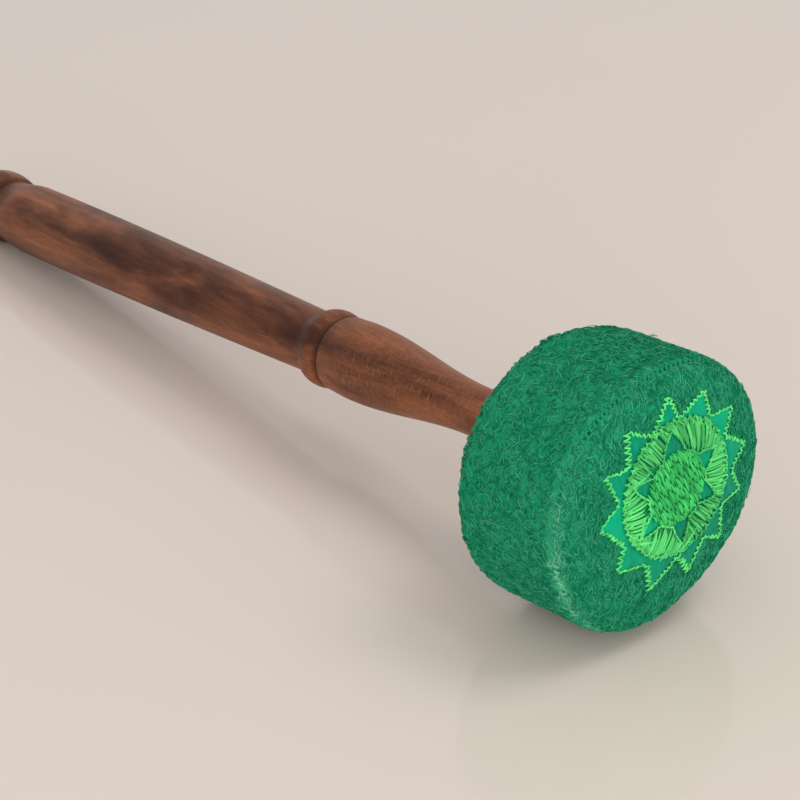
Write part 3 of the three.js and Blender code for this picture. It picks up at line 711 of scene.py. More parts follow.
def handle_outline(step=0.6):
    """(radius, station) down the turned handle, from axis to axis, and the share of painted groove shade at
    each point.
    """
    made = [
        (0.0, SCREW_END), (PILOT_RADIUS, SCREW_END), (PILOT_RADIUS, TENON_FRONT),
        (TENON_RADIUS, TENON_FRONT), (TENON_RADIUS, TENON_END), (NECK_RADIUS, TENON_END),
        (NECK_RADIUS, NECK_START - 1),
    ]

    def stretch(start, end, radius_at):
        count = max(2, round((end - start) / step))
        made.extend((radius_at(i / count), start + (end - start) * i / count) for i in range(count + 1))

    def eased(a, b):
        return lambda t: a + (b - a) * (1 - math.cos(math.pi * t)) / 2

    def bead(foot, peak):
        return lambda t: foot + (peak - foot) * math.sqrt(max(0.0, 1 - (2 * t - 1) ** 2))

    def rounding(foot, width, start, height, count):
        for i in range(1, count + 1):
            turn = math.pi / 2 * i / count
            made.append((foot + width * math.cos(turn), start + height * math.sin(turn)))

    stretch(NECK_START, SWELL_START, lambda t: NECK_RADIUS)
    stretch(SWELL_START, SWELL_PEAK, eased(NECK_RADIUS, SWELL_RADIUS))
    shoulder = SHOULDER_END - SHOULDER_ROUND
    stretch(SWELL_PEAK, shoulder, eased(SWELL_RADIUS, SHOULDER_RADIUS))
    rounding(COLLAR_FOOT, SHOULDER_ROUND, shoulder, SHOULDER_ROUND, 6)
    stretch(COLLAR_START, COLLAR_END, bead(COLLAR_FOOT, COLLAR_RADIUS))
    grip_rise = GRIP_RADIUS - WAIST_RADIUS
    stretch(GRIP_START, GRIP_PEAK, lambda t: WAIST_RADIUS + grip_rise * math.sin(math.pi / 2 * t))
    stretch(GRIP_PEAK, POMMEL_START, eased(GRIP_RADIUS, POMMEL_FOOT))
    stretch(POMMEL_START, BUTT_START, bead(POMMEL_FOOT, POMMEL_RADIUS))
    rounding(BUTT_RADIUS, POMMEL_FOOT - BUTT_RADIUS, BUTT_START, BUTT_END - BUTT_START, 16)
    made.append((0.0, BUTT_END))
    rows, closest = [], 0.02
    for radius, station in made:
        if not rows or math.hypot(radius - rows[-1][0], station - rows[-1][1]) >= closest:
            rows.append((radius, station))
    rows = np.array(rows)
    groove_shade_share = [
        share * np.exp(-(((rows[:, 1] - middle) / reach) ** 2)) for middle, reach, share in SHADED_GROOVES
    ]
    return rows, np.max(groove_shade_share, 0)


def lathe_tree():
    """Spins the profile, given as points at (radius, 0, station), round the station axis and closes it."""
    tree, add, given = geometry_tree(
        "Turned on a lathe", Sides=("Int", 96), Rows=("Int", 10), Tool_Marks=("Float", 0.00002),
        Start=("Vector", (0, 0, 0)), Turn=("Vector", (0, 0, 0)), Finish=("Material", None),
    )
    count_around = add("Math.ADD", given["Sides"], 1.0)
    grid = add("MeshGrid", Size_X=1.0, Size_Y=1.0, Vertices_X=given["Rows"], Vertices_Y=count_around)
    index = add("InputIndex")
    row = add("Math.FLOOR", add("Math.DIVIDE", index, count_around))
    # The last column lies on the first, where the turning closes
    column = add("Math.FLOORED_MODULO", add("Math.FLOORED_MODULO", index, count_around), given["Sides"])
    angle = add("Math.MULTIPLY", column, add("Math.DIVIDE", 2 * math.pi, given["Sides"]))
    profile = add(
        "SampleIndex", Geometry=given["Geometry"], Value=add("InputPosition"), Index=row,
        data_type="FLOAT_VECTOR",
    )
    # Each row carries the painted shade of its groove
    groove = add(
        "SampleIndex", Geometry=given["Geometry"], Value=add("InputNamedAttribute", "groove"), Index=row
    )
    wide, _, down = add("SeparateXYZ", profile).outputs
    ring = add("CombineXYZ", add("Math.COSINE", angle), add("Math.SINE", angle), 0.0)
    # The gouge leaves faint rings, and hand sanding leaves the turning a little uneven
    marks = add("TexNoise", W=down, Scale=fineness(2.381), noise_dimensions="1D")
    tool = add("Math.MULTIPLY", add("Math.SUBTRACT", marks, 0.5), given["Tool Marks"])
    # The tenon and the butt's middle stay smooth
    radius = add("Math.MULTIPLY_ADD", tool, add("Math.GREATER_THAN", wide, 0.006), wide)
    flat = add("VectorMath.SCALE", ring, Scale=radius)
    spun = add("VectorMath.ADD", flat, add("CombineXYZ", 0.0, 0.0, down))
    shaped = add("SetPosition", Geometry=grid, Position=spun)
    kept = add("StoreNamedAttribute", Geometry=shaped, Name="groove", Value=groove)
    closed = add("MergeByDistance", Geometry=kept, Distance=0.000002)
    outward = add("FlipFaces", Mesh=closed)
    lying = add("Transform", Geometry=outward, Translation=given["Start"], Rotation=given["Turn"])
    return finish_tree(tree, add, lying, given["Finish"])


class MALLET_OT_handle(Operator):
    """Turn the hardwood handle"""

    bl_idname = "mallet.handle"
    bl_label = "Handle"

    def execute(self, context):
        sizes = context.scene.mallet_handle
        rows, groove_shade_share = handle_outline()
        points = np.column_stack([rows[:, 0] * MM, np.zeros(len(rows)), rows[:, 1] * MM])
        handle = new_object(
            "turned_handle", points, edges=[(i, i + 1) for i in range(len(rows) - 1)], groove=groove_shade_share
        )
        # Turns +Z of the profile onto the handle's axis
        turn = Vector((0, 0, 1)).rotation_difference(Vector(ALONG)).to_euler()
        run_tree(
            handle, lathe_tree(), Sides=sizes.sides, Rows=len(rows), Tool_Marks=sizes.tool_marks,
            Start=tuple(AXIS_START), Turn=tuple(turn), Finish=turned_hardwood(sizes),
        )
        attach(handle, "root")
        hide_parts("handle")
        return {"FINISHED"}


# Felt cover

# Least heights over the table of the felt and of its fibres, in metres, so that nothing goes through it
LEAST_HEIGHT = 0.00002
LEAST_FIBRE_HEIGHT = 0.00015
# Waves of 2.3 mm in the fibres' curl
CURLS_ON_A_METRE = 430.0
# How deep a seam pulls the felt in and how far along the skin that reaches, in mm
SEAM_DEPTH = 0.55
SEAM_REACH = 0.9


def edge_skin(front, degrees, inset=0.0):
    """(radius, station) on the front or back rounded edge at an angle from the wall."""
    flat, edge, station, facing = (
        (FRONT_FLAT, FRONT_EDGE, WALL_FRONT, -1) if front else (BACK_FLAT, BACK_EDGE, WALL_BACK, 1)
    )
    angle = np.radians(degrees)
    reach = np.maximum(edge - inset, 0)
    radius = flat + reach * np.cos(angle)
    made = station + facing * reach * np.sin(angle)
    return radius, made - crown(radius) if front else made


def seam_inset(distance):
    """How deep the stitches pull the felt in, at a distance along the skin from the seam."""
    return SEAM_DEPTH * np.exp(-((distance / SEAM_REACH) ** 2))


def skin_rows(radius, station, out_radius=0.0, out_station=0.0, from_seam=99.0):
    """Rows of a felt skin: radius, station, outward direction, and distance along the skin from the seam."""
    return np.column_stack(np.broadcast_arrays(radius, station, out_radius, out_station, from_seam))


def arc_rows(front, start, end, step):
    """Rows round a rounded edge, pulled in at its seam."""
    edge, seam = (FRONT_EDGE, FRONT_SEAM) if front else (BACK_EDGE, BACK_SEAM)
    count = max(4, round(abs(math.radians(end - start)) * edge / step))
    degrees = np.linspace(start, end, count + 1)
    lean = np.radians(degrees)
    from_seam = np.radians(degrees - seam) * edge
    out_station = (-1 if front else 1) * np.sin(lean)
    return skin_rows(*edge_skin(front, degrees, seam_inset(from_seam)), np.cos(lean), out_station, from_seam)


def wall_rows(step, inset=0.0):
    count = round((WALL_BACK - WALL_FRONT) / step)
    station = np.linspace(WALL_FRONT, WALL_BACK, count + 1)[1:-1]
    share = (station - WALL_FRONT) / (WALL_BACK - WALL_FRONT)
    radius = HEAD_FRONT_RADIUS + (HEAD_BACK_RADIUS - HEAD_FRONT_RADIUS) * share - inset
    return skin_rows(radius, station)


FRONT_STITCHES = 132
BACK_STITCHES = 86


def wobble(angle):
    """Uneven spacing of hand stitches, as a small angle."""
    return 0.006 * np.sin(3 * angle + 1) + 0.004 * np.sin(11 * angle + 2) + 0.003 * np.sin(23 * angle)


# Where the front rim is rubbed most and how far that reaches, in degrees, with its radius and width in mm
WORN_MIDDLE, WORN_REACH = 207, 50
WORN_RADIUS, WORN_WIDTH = 33.0, 1.5


def lower_left(angle):
    """Share of the front rim's lower left, where the felt is rubbed most."""
    return np.exp(-((angle_off(np.degrees(angle), WORN_MIDDLE) / WORN_REACH) ** 2))


def pucker(front, angle, from_seam):
    """How far the felt swells out between two stitches of its seam, in mm."""
    count, rise, reach = (FRONT_STITCHES, 0.35, 1.2) if front else (BACK_STITCHES, 1.5, 1.7)
    wave = np.abs(np.sin((angle + wobble(angle)) * count / 2)) ** 0.7 - 0.45
    size = 1 + 0.4 * np.sin(7 * angle + 2) + 0.3 * np.sin(19 * angle)
    if front:
        size = size * (0.08 + 0.9 * lower_left(angle))
    return rise * size * wave * np.exp(-((from_seam / reach) ** 2))


def felt_shell(outer, inner, columns, has_poles=False):
    """A closed shell of felt: the outer rows carry the nap and the inner rows lie on the padding."""
    rows = np.vstack([outer, inner])
    angle = np.linspace(0, 2 * math.pi, columns, endpoint=False)
    swell = np.where(
        rows[:, 1:2] < HEAD_DEPTH / 2, pucker(True, angle, rows[:, 4:]), pucker(False, angle, rows[:, 4:])
    )
    radius = rows[:, :1] + rows[:, 2:3] * swell
    station = rows[:, 1:2] + rows[:, 3:4] * swell
    x, z = uneven(radius, angle + 0 * radius, station)
    count = len(rows)
    nap = np.zeros((count, columns))
    nap[: len(outer)] = 1
    if has_poles:
        # The embroidery holds the felt down
        off_x, off_z = x[: len(outer)] - LOTUS_X, z[: len(outer)] - LOTUS_Z
        past = np.hypot(off_x, off_z) - lotus_edge(np.degrees(np.arctan2(off_z, off_x)))
        nap[: len(outer)] = np.clip(past / 0.8, 0, 1)
    index = np.arange(count * columns).reshape(count, columns)
    faces = []
    for i in range(count - has_poles):
        faces.extend(quads_between(index[i], index[(i + 1) % count]).tolist())
    points, nap = place(x, station, z).reshape(-1, 3), nap.ravel()
    if has_poles:
        # Poles at the middle of the outer and the inner face
        pole = len(points)
        points = np.vstack([points] + [place(0.0, row[1], 0.0)[None] for row in (rows[0], rows[-1])])
        nap = np.append(nap, [0, 0])
        faces.extend(fan(pole, index[0], np.roll(index[0], -1)))
        faces.extend(fan(pole + 1, np.roll(index[-1], -1), index[-1]))
    around = np.degrees(np.arctan2((points - AXIS_START) @ UP, (points - AXIS_START) @ RIGHT))
    return points, faces, nap, around


def worn_rim(points, around):
    """Share of wear: the front rim is rubbed pale in patches, most of all at its lower left."""
    station = (points - AXIS_START) @ ALONG / MM
    across = np.hypot((points - AXIS_START) @ UP, (points - AXIS_START) @ RIGHT) / MM
    # A quarter of the distance outwards counts, because the rim bulges where its lobes are
    off_seam = np.hypot(station - edge_skin(True, FRONT_SEAM)[1], (across - WORN_RADIUS) / 4)
    angle = np.radians(around)
    patches = 0.6 + 0.4 * np.sin(17 * angle + 3 * np.sin(5 * angle)) * np.sin(41 * angle)
    return np.exp(-((off_seam / WORN_WIDTH) ** 2)) * patches * (0.04 + 0.95 * lower_left(angle))


def nap_tree():
    """Raises the felt's nap into lumps with pits between them, and keeps the height for the painted shade of
    the pits.
    """
    tree, add, given = geometry_tree(
        "Needled felt nap", Height=("Float", 0.0003), Clump=("Float", 0.0012), Seed=("Float", 3.0),
        Finish=("Material", None),
    )
    scale = add("Math.DIVIDE", 1.0, given["Clump"])
    # Lumps of the clump's own size, curls 2.6 times finer and swells 2.4 times broader
    lumps, curls, broad = (
        add(
            "TexNoise", Vector=add("InputPosition"), W=given["Seed"], Detail=detail, Roughness=rough,
            Scale=add("Math.MULTIPLY", scale, finer), Distortion=bend, noise_dimensions="4D",
        )
        for finer, detail, rough, bend in (
            (1.0, 3.0, 0.65, 0.8), (2.6, 2.0, 0.6, 2.2), (0.42, 1.0, 0.5, 0.0)
        )
    )
    mixed = add("Math.MULTIPLY_ADD", curls, 0.8, lumps)
    height = add("MapRange", Value=mixed, From_Min=0.55, From_Max=1.2)
    swell = add("Math.MULTIPLY_ADD", broad, 1.5, -0.75)
    rise = add("Math.ADD", add("Math.SUBTRACT", height, 1.3), swell)
    share = add("Math.MULTIPLY", given["Height"], add("InputNamedAttribute", "nap"))
    offset = add("VectorMath.SCALE", add("InputNormal"), Scale=add("Math.MULTIPLY", rise, share))
    kept = add("StoreNamedAttribute", Geometry=given["Geometry"], Name="nap_height", Value=height)
    shaped = add("SetPosition", Geometry=kept, Offset=offset)
    here = add("SeparateXYZ", add("InputPosition")).outputs
    pressed = add("CombineXYZ", here[0], here[1], add("Math.MAXIMUM", here[2], LEAST_HEIGHT))
    flat = add("SetPosition", Geometry=shaped, Position=pressed)
    return finish_tree(tree, add, flat, given["Finish"])


# How far the felt's cut edges stay off the seams, in degrees of the rounded edge
FRONT_GAP = 0.4
BACK_GAP = 0.6
# Radius that the embroidery surely hides, and the spacing of the felt's mesh inside it, in mm
COVERED_RADIUS = 16
COARSE_STEP = (FRONT_FLAT - 0.4) / 25


class MALLET_OT_felt_cover(Operator):
    """Sew the felt cover: side wall, front disc and back disc"""

    bl_idname = "mallet.felt_cover"
    bl_label = "Felt cover"

    def execute(self, context):
        sizes = context.scene.mallet_felt
        step = sizes.grain / MM
        columns = round(2 * math.pi * HEAD_BACK_RADIUS / step)

        def lining(front, *degrees):
            return skin_rows(*edge_skin(front, np.array(degrees), FELT_THICKNESS))

        # Coarse under the embroidery and fine outside it
        coarse = np.arange(0.4, COVERED_RADIUS, COARSE_STEP)
        face = np.concatenate([coarse, np.arange(COVERED_RADIUS, FRONT_FLAT, step)])
        inner_face = np.array([24.0, 16.0, 8.0])
        back_face = np.arange(BACK_FLAT - step, NECK_HOLE + 0.2, -step * 1.6)
        wall = (
            [
                arc_rows(True, FRONT_SEAM - FRONT_GAP, 0, step), wall_rows(step),
                arc_rows(False, 0, BACK_SEAM - BACK_GAP, step),
            ],
            [
                lining(False, BACK_SEAM - BACK_GAP, 0.0), wall_rows(6.0, FELT_THICKNESS)[::-1],
                lining(True, 0.0, FRONT_SEAM - FRONT_GAP),
            ],
        )
        front_disc = (
            [skin_rows(face, -crown(face)), arc_rows(True, 90, FRONT_SEAM + FRONT_GAP, step)],
            [
                lining(True, FRONT_SEAM + FRONT_GAP, 60.0, 90.0),
                skin_rows(inner_face, FELT_THICKNESS - crown(inner_face)),
            ],
        )
        back_disc = (
            [
                arc_rows(False, BACK_SEAM + BACK_GAP, 90, step), skin_rows(back_face, HEAD_DEPTH),
                skin_rows(NECK_HOLE, HEAD_DEPTH - 0.25),
            ],
            [
                skin_rows(np.array([NECK_HOLE, 20.0]), HEAD_DEPTH - FELT_THICKNESS),
                lining(False, 90.0, BACK_SEAM + BACK_GAP),
            ],
        )
        finish = wool_felt(sizes)
        tree = nap_tree()
        for name, node_name, (outer, inner), has_poles, seed in (
            ("side_wall_felt", "felt_side_wall", wall, False, 3.0),
            ("front_disc_felt", "felt_front_disc", front_disc, True, 11.0),
            ("back_disc_felt", "felt_back_disc", back_disc, False, 19.0),
        ):
            points, faces, nap, around = felt_shell(np.vstack(outer), np.vstack(inner), columns, has_poles)
            piece = new_object(name, points, faces=faces, nap=nap, worn=worn_rim(points, around))
            run_tree(piece, tree, Height=sizes.nap_height, Clump=sizes.clump, Seed=seed, Finish=finish)
            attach(piece, "root")
            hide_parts(node_name)
        return {"FINISHED"}


def fibre_tree():
    """Scatters curly tufts over a felt skin, laid along it with their ends tucked in or sticking out."""
    tree, add, given = geometry_tree(
        "Loose wool fibres", Skin=("Object", None), Density=("Float", 900000.0), Width=("Float", 0.0002),
        Length=("Float", 0.0025), Lay=("Vector", (0, 0, 1)), Spread=("Float", 1.2), Curl=("Float", 0.005),
        Lift=("Float", 0.0004), Palest=("Float", 0.0), Points=("Int", 6), Seed=("Int", 1),
        Finish=("Material", None),
    )
    surface = add("ObjectInfo", Object=given["Skin"]).outputs["Geometry"]
    napped = add("Math.GREATER_THAN", add("InputNamedAttribute", "nap"), 0.9)
    roots = add(
        "DistributePointsOnFaces", Mesh=surface, Selection=napped, Density=given["Density"],
        Seed=given["Seed"],
    )
    tone = add("RandomValue", Min=given["Palest"], Seed=given["Seed"])
    worn_tone = add("Math.MULTIPLY_ADD", add("InputNamedAttribute", "worn"), 1.65, tone)
    toned = add("StoreNamedAttribute", Geometry=roots, Name="tone", Value=worn_tone)
    loose = add("RandomValue", Seed=add("Math.ADD", given["Seed"], 5.0))
    loosened = add("StoreNamedAttribute", Geometry=toned, Name="loose", Value=loose)
    rooted = add(
        "StoreNamedAttribute", Geometry=loosened, Name="root_way", Value=roots.outputs["Normal"],
        data_type="FLOAT_VECTOR",
    )
    lying = add("AxesToRotation", Primary_Axis=roots.outputs["Normal"], Secondary_Axis=given["Lay"])
    spin = add(
        "RandomValue", Min=add("Math.MULTIPLY", given["Spread"], -1.0), Max=given["Spread"],
        Seed=add("Math.ADD", given["Seed"], 9.0),
    )
    turn = add("EulerToRotation", add("CombineXYZ", 0.0, 0.0, spin))
    turned = add("RotateRotation", Rotation=lying, Rotate_By=turn, rotation_space="LOCAL")
    size = add("RandomValue", Min=0.55, Max=1.35, Seed=add("Math.ADD", given["Seed"], 7.0))
    half = add("CombineXYZ", add("Math.MULTIPLY", given["Length"], 0.5), 0.0, 0.0)
    line = add("CurvePrimitiveLine", Start=add("VectorMath.SCALE", half, Scale=-1.0), End=half)
    strand = add("ResampleCurve", Curve=line, Count=given["Points"])
    planted = add("InstanceOnPoints", Points=rooted, Instance=strand, Rotation=turned, Scale=size)
    strands = add("RealizeInstances", planted)
    # Each strand curls by a noise field that changes from strand to strand
    own = add("Math.MULTIPLY", add("InputNamedAttribute", "tone"), 40.0)
    curl = add(
        "TexNoise", Vector=add("InputPosition"), W=own, Scale=CURLS_ON_A_METRE, Detail=0.0,
        noise_dimensions="4D",
    )
    centred = add("VectorMath.SUBTRACT", curl.outputs["Color"], (0.5, 0.5, 0.5))
    sway = add("VectorMath.SCALE", centred, Scale=given["Curl"])
    # It curls along the skin and stays outside it, so that no part falls through to the lining side
    outward = add("InputNamedAttribute", "root_way", data_type="FLOAT_VECTOR")
    inward_share = add("VectorMath.DOT_PRODUCT", sway, outward).outputs["Value"]
    kept_out = add("Math.SUBTRACT", 0.0006, inward_share)
    sideways = add("VectorMath.ADD", sway, add("VectorMath.SCALE", outward, Scale=kept_out))
    curled = add("SetPosition", Geometry=strands, Offset=sideways)
    normal = add("SampleNearestSurface", Mesh=surface, Value=add("InputNormal"), data_type="FLOAT_VECTOR")
    way = add("SplineParameter").outputs["Factor"]
    # The near end is buried, the middle lies on the skin, and a loose far end stands off it
    arch = add("Math.SINE", add("Math.MULTIPLY", way, math.pi))
    looseness = add("Math.POWER", add("InputNamedAttribute", "loose"), 5.0)
    stray = add("Math.MULTIPLY", add("Math.POWER", way, 2.0), looseness)
    laid_rise = add("Math.MULTIPLY_ADD", add("Math.POWER", arch, 0.6), 0.6, -0.15)
    rise = add("Math.MULTIPLY", add("Math.MULTIPLY_ADD", stray, 1.7, laid_rise), given["Lift"])
    on_skin = add("Proximity", Geometry=surface).outputs["Position"]
    lifted = add("VectorMath.ADD", on_skin, add("VectorMath.SCALE", normal, Scale=rise))
    parts = add("SeparateXYZ", lifted).outputs
    above = add("CombineXYZ", parts[0], parts[1], add("Math.MAXIMUM", parts[2], LEAST_FIBRE_HEIGHT))
    laid = add("SetPosition", Geometry=curled, Position=above)
    taper = add("Math.MULTIPLY", add("Math.MULTIPLY_ADD", arch, 0.5, 0.5), given["Width"])
    section = add("CurvePrimitiveCircle", Resolution=3, Radius=0.5)
    tubes = add("CurveToMesh", Curve=laid, Profile_Curve=section, Scale=taper, Fill_Caps=True)
    return finish_tree(tree, add, tubes, given["Finish"])


class MALLET_OT_felt_fibres(Operator):
    """Brush loose tufts of wool out of the felt"""

    bl_idname = "mallet.felt_fibres"
    bl_label = "Felt fibres"

    def execute(self, context):
        sizes = context.scene.mallet_felt
        finish = felt_fibres(sizes)
        tree = fibre_tree()
        # The tufts run along the wall and up and down the discs
        down, up = tuple(ALONG), (0, 0, 1)
        tuft = {"Curl": 0.0034, "Lift": 0.0003, "Palest": 0.0, "Points": 7}
        hair = {"Curl": 0.008, "Lift": 0.0006, "Palest": 0.7, "Points": 24}
        for name, skin, kind, lay, spread, share, stretch, seed in (
            ("side_wall_fibres_1", "side_wall_felt", tuft, down, 1.6, 0.75, 1.0, 21),
            ("side_wall_fibres_2", "side_wall_felt", tuft, down, 1.6, 0.75, 1.0, 31),
            ("side_wall_hairs", "side_wall_felt", hair, down, 1.6, 0.015, 3.0, 41),
            ("front_disc_fibres_1", "front_disc_felt", tuft, up, 0.9, 1.2, 1.0, 22),
            ("front_disc_fibres_2", "front_disc_felt", tuft, up, 0.9, 1.2, 1.0, 32),
            ("front_disc_hairs", "front_disc_felt", hair, up, 1.6, 0.02, 2.6, 42),
            ("back_disc_fibres", "back_disc_felt", tuft, up, 1.5, 1.1, 1.0, 23),
        ):
            piece = new_object(name, [(0, 0, 0)])
            run_tree(
                piece, tree, Skin=bpy.data.objects[skin], Density=sizes.fibre_density * 10000 * share,
                Width=sizes.fibre_width / stretch**0.4, Length=sizes.fibre_length * stretch, Lay=lay,
                Spread=spread, Seed=seed, Finish=finish, **kind,
            )
            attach(piece, "root")
        return {"FINISHED"}


# Threads


def thread_tree():
    """Sews a rounded thread along each edge: it comes up, arches over and goes down again."""
    tree, add, given = geometry_tree(
        "Sewn threads", Width=("Float", 0.0005), Arch=("Float", 0.0004), Dip=("Float", 0.0003),
        Ends=("Float", 0.65), Sides=("Int", 6), Steps=("Int", 7), Ply_Length=("Float", 0.0011),
        Finish=("Material", None),
    )
    lines = add("MeshToCurve", Mesh=add("SplitEdges", given["Geometry"]))
    fine = add("ResampleCurve", Curve=lines, Count=given["Steps"])
    way = add("SplineParameter").outputs
    off_middle = add("Math.ABSOLUTE", add("Math.MULTIPLY_ADD", way["Factor"], 2.0, -1.0))
    swell = add("Math.SUBTRACT", 1.0, add("Math.POWER", off_middle, 2.6))
    reach = add("Math.ADD", given["Arch"], given["Dip"])
    height = add("Math.SUBTRACT", add("Math.MULTIPLY", swell, reach), given["Dip"])
    up = add("InputNamedAttribute", "lift_way", data_type="FLOAT_VECTOR")
    offset = add("VectorMath.SCALE", up, Scale=height)
    arched = add("SetPosition", Geometry=fine, Offset=offset)
    wide = add("InputNamedAttribute", "breadth")
    fuller = add("Math.SUBTRACT", 1.0, given["Ends"])
    taper = add("Math.MULTIPLY_ADD", swell, fuller, given["Ends"])
    radius = add("Math.MULTIPLY", add("Math.MULTIPLY", taper, wide), given["Width"])
    # The way along and round each thread turns its plies
    along = add("Math.DIVIDE", way["Length"], given["Ply Length"])
    line = add("StoreNamedAttribute", Geometry=arched, Name="way_along", Value=along)
    circle = add("CurvePrimitiveCircle", Resolution=given["Sides"], Radius=0.5)
    round_it = add("Math.DIVIDE", add("InputIndex"), given["Sides"])
    section = add("StoreNamedAttribute", Geometry=circle, Name="way_round", Value=round_it)
    tubes = add("CurveToMesh", Curve=line, Profile_Curve=section, Scale=radius, Fill_Caps=True)
    ways = add("CombineXYZ", *(add("InputNamedAttribute", name) for name in ("way_along", "way_round")))
    wayed = add(
        "StoreNamedAttribute", Geometry=tubes, Name="thread_way", Value=ways, data_type="FLOAT_VECTOR"
    )
    return finish_tree(tree, add, wayed, given["Finish"])


def new_stitches(name, points, ups, tone, breadth):
    """An edge for each stitch, from pairs of points and of the directions in which its thread arches."""
    return new_object(
        name, np.stack(points, 1), edges=[(2 * i, 2 * i + 1) for i in range(len(tone))],
        lift_way=np.stack(ups, 1).reshape(-1, 3), tone=np.repeat(tone, 2), breadth=np.repeat(breadth, 2),
    )


def stitch_lines(name, starts, ends, lift, tone, breadth):
    """Stitches on the face, from starts to ends, given in mm as seen along the axis."""
    sides = [np.asarray(side, float).T for side in (starts, ends)]
    points = [on_face(*side, lift) for side in sides]
    return new_stitches(name, points, [face_normal(*side) for side in sides], tone, breadth)


# Height of the satin's surface over the felt's front skin, in mm
SATIN_LIFT = 0.35


def field_span(number):
    """Angles of the windows between which a ring field lies."""
    first, final = WINDOWS[number][0], WINDOWS[(number + 1) % len(WINDOWS)][0]
    return first, final + (360 if final < first else 0)


def ring_field_stitches(number, pitch, draw, scatter, spikes, longest=9.0):
    """Stitches of one ring field, from the outer edge in to the centre or to a window: their directions
    scatter by some degrees, and their outer ends stand out by turns as spikes."""
    step, farthest, shortest, fewest = 0.08, 9, 1.0, 6
    first, final = field_span(number)
    turn_first, turn_final = FIELD_TURNS[number]
    sweep = final - first
    count = round(math.radians(sweep) * RING_RADIUS / pitch)
    starts, ends = [], []
    for i in range(count):
        share = (i + 0.5) / count
        at = first + sweep * share
        inward = math.radians(turn_first + (turn_final - turn_first) * share + draw.normal(0, scatter))
        outer = RING_RADIUS + draw.normal(0, spikes) + spikes * (1 if i % 2 else -1)
        x, z = polar(outer, at)
        way = np.array([math.cos(inward), math.sin(inward)])
        steps = np.arange(0, farthest, step)[:, None] * way + (x, z)
        off = steps - (LOTUS_X, LOTUS_Z)
        radius = np.hypot(*off.T)
        inside = radius < ring_inner(np.degrees(np.arctan2(off[:, 1], off[:, 0])))
        stop = int(np.argmax(inside)) if inside.any() else len(steps) - 1
        if stop < fewest:
            continue
        reach = max(shortest, stop * step + draw.normal(-0.05, 0.22))
        reach = min(reach, longest * draw.uniform(0.6, 1))
        starts.append((x, z))
        ends.append((x + way[0] * reach, z + way[1] * reach))
    return starts, ends


def field_outline(number, radius_at, step, draw, swing, loose):
    """Zigzag stitches along the inner or outer edge of one ring field, swinging in and out of it."""
    first, final = field_span(number)
    angles = np.linspace(first, final, 400)
    x, z = polar(radius_at(angles), angles)
    walked = np.concatenate([[0], np.cumsum(np.hypot(np.diff(x), np.diff(z)))])
    along = np.arange(0, walked[-1], step)
    x, z = np.interp(along, walked, x), np.interp(along, walked, z)
    out = np.column_stack([x - LOTUS_X, z - LOTUS_Z])
    out /= np.linalg.norm(out, axis=1, keepdims=True)
    side = np.where(np.arange(len(x)) % 2, swing[1], swing[0]) + draw.normal(0, loose, len(x))
    points = np.column_stack([x, z]) + out * side[:, None]
    return list(points[:-1]), list(points[1:])


# Some fields were sewn with more slack and catch less light
# Painted light and shade: each field's stitches are coloured lighter or darker, as some fields catch less
# light
FIELD_LIGHT_AND_SHADE = (-0.17, 0.1, -0.06, -0.3, 0.02, -0.2)


class MALLET_OT_lotus_ring(Operator):
    """Stitch the six fields of the lotus's ring"""

    bl_idname = "mallet.lotus_ring"
    bl_label = "Ring fields"

    def execute(self, context):
        sizes = context.scene.mallet_lotus
        pitch, zigzag = sizes.stitch_pitch / MM, sizes.border_pitch / MM
        finish = rayon_thread("lime_rayon_thread", sizes.lime)
        tree = thread_tree()
        draw = np.random.default_rng(41)
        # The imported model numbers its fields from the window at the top, round to the left
        for number in range(len(WINDOWS)):
            # Dense shaded stitches lie below, bright ones and some short stray ones above
            under = ring_field_stitches(number, pitch * 0.95, draw, scatter=9, spikes=0.1)
            over = ring_field_stitches(number, pitch * 1.3, draw, scatter=2.4, spikes=0.35)
            short = ring_field_stitches(number, pitch * 1.6, draw, scatter=14, spikes=0.3, longest=2.3)
            inner = field_outline(number, ring_inner, zigzag, draw, swing=(-0.1, 0.34), loose=0.08)
            outer = field_outline(number, ring_outer, zigzag * 1.3, draw, swing=(-0.4, 0.7), loose=0.28)
            low, high, rim = len(under[0]), len(over[0]) + len(short[0]), len(inner[0]) + len(outer[0])
            lift_low = SATIN_LIFT + 0.02 + draw.normal(0, 0.03, low)
            lift_high = SATIN_LIFT + 0.3 + draw.normal(0, 0.05, high)
            # Painted shade: the stitches below are coloured near the thread's shaded copy
            under_shade = draw.uniform(0.0, 0.25, low)
            tone_and_field_light = np.clip(draw.normal(0.68 + FIELD_LIGHT_AND_SHADE[number], 0.15, high + rim), 0, 1)
            breadth_high = np.clip(draw.normal(1.12, 0.12, high), 0.8, 1.4)
            starts, ends = (sum(side, []) for side in zip(under, over, short, inner, outer))
            piece = stitch_lines(
                f"ring_stitches_{number + 1}", starts, ends,
                np.concatenate([lift_low, lift_high, np.full(rim, SATIN_LIFT + 0.35)]),
                np.concatenate([under_shade, tone_and_field_light]),
                np.concatenate([np.full(low, 1.0), breadth_high, np.full(rim, 0.85)]),
            )
            run_tree(piece, tree, Width=sizes.thread_width, Arch=0.00018, Ends=0.55, Finish=finish)
            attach(piece, "root")
            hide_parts(f"ring_fill_{number + 1}")
        return {"FINISHED"}


